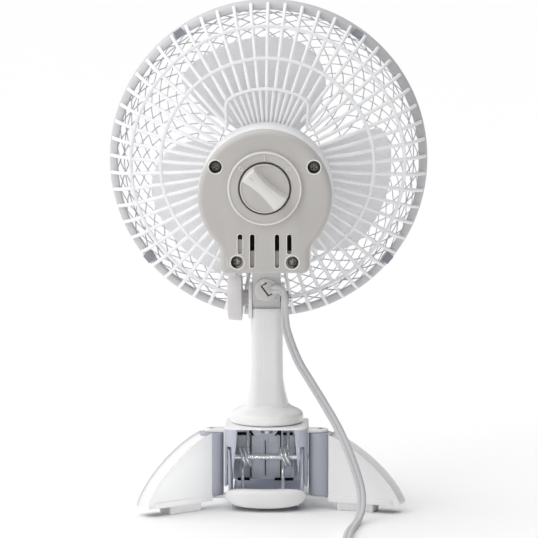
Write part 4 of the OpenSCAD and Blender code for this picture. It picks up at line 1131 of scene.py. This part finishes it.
KEPT = [
    (RUBBER, 0.3, "upper_grip_pad", "lower_grip_pad"), (RUBBER, 0.5, "front_foot"), (WHITE, 0.5, "blade_nut"),
    (STEEL, 0.2, "swivel_washer", "bracket_screws", "motor_shaft"), (STEEL, 0.25, "swivel_screw"),
    (STEEL, 0.3, "leg_pins", "tilt_bolt", "grille_screws"), (DARK_STEEL, 0.3, "tilt_nut"),
    (CLIP, 0.2, "rim_clips"),
    (SWITCH, 0.3, "speed_switch"), (COPPER, 1.2, "stator_coil"), (LAMINATION, 0.15, "stator_core"),
    (LAMINATION, 0.2, "rotor_core"), (ALLOY, 0.4, "front_bracket", "rear_bracket"),
    (BRONZE, 0.2, "front_bearing", "rear_bearing"),
]
for finish, width, *names in KEPT:
    for name in names:
        node = nodes[name]
        node.data.materials.clear()
        node.data.materials.append(finish)
        weld = node.modifiers.new("weld", "WELD")
        weld.merge_threshold = 1e-6
        flat = node.modifiers.new("flat", "DECIMATE")
        flat.decimate_type = "DISSOLVE"
        flat.angle_limit = radians(0.6)
        soften(node, width, 2, 30)
nodes["plug_pins"].data.materials.clear()
nodes["plug_pins"].data.materials.append(BRASS)


# ---------- floor and light ----------

FLOOR_REACH = 40.0


def add_floor():
    m = bpy.data.materials.new("floor_paper")
    m.use_nodes = True
    tree = m.node_tree
    shader = tree.nodes["Principled BSDF"]
    noise = add_node(tree, "TexNoise", Scale=6.0)
    colour = add_ramp(tree, noise.outputs["Fac"], (0, (0.955, 0.955, 0.955)), (1, (0.97, 0.97, 0.97)))
    tree.links.new(colour, shader.inputs["Base Color"])
    shader.inputs["Roughness"].default_value = 0.85
    shader.inputs["Specular IOR Level"].default_value = 0.1
    mesh = bpy.data.meshes.new("floor")
    corners = [(-1, -1), (1, -1), (1, 1), (-1, 1)]
    mesh.from_pydata([(x * FLOOR_REACH, y * FLOOR_REACH, 0) for x, y in corners], [], [(0, 1, 2, 3)])
    mesh.materials.append(m)
    floor = bpy.data.objects.new("floor", mesh)
    scene.collection.objects.link(floor)


def add_area(name, location, target, power, size, size_y=None, spread=180):
    data = bpy.data.lights.new(name, "AREA")
    data.shape = "RECTANGLE"
    data.size = size
    data.size_y = size_y or size
    data.energy = power
    data.spread = radians(spread)
    light = bpy.data.objects.new(name, data)
    scene.collection.objects.link(light)
    light.location = location
    look_at(light, target)


add_floor()
add_area("key", (-1.2, -1.2, 1.0), (-0.05, 0, 0.1), 3.0, 0.7)
add_area("strip", (1.1, -0.9, 0.5), (0, 0, 0.12), 0.35, 0.1, 0.9)
# faint narrow beams on the left leg and into the clip box
add_area("low", (0.6, -0.7, 0.06), (-0.058, -0.04, 0.028), 0.0046, 0.05, spread=6)
add_area("mouth", (0.03, -0.6, 0.1), (0, 0, 0.036), 0.00045, 0.03, spread=4)


def add_world(axis, low, high):
    """Light tent: brightest along an axis, dimmer towards the horizon and one side."""
    world = bpy.data.worlds.new("world")
    world.use_nodes = True
    tree = world.node_tree
    place = add_node(tree, "TexCoord")
    along = add_node(tree, "VectorMath")
    along.operation = "DOT_PRODUCT"
    along.inputs[1].default_value = axis
    level = add_node(tree, "MapRange", From_Min=0.0, From_Max=1.0, To_Min=low, To_Max=high)
    tree.links.new(place.outputs["Generated"], along.inputs[0])
    tree.links.new(along.outputs["Value"], level.inputs["Value"])
    tree.links.new(level.outputs["Result"], tree.nodes["Background"].inputs["Color"])
    scene.world = world


add_world((-0.5, 0.12, 0.86), 0.06, 1.74)
scene.view_settings.view_transform = "Standard"
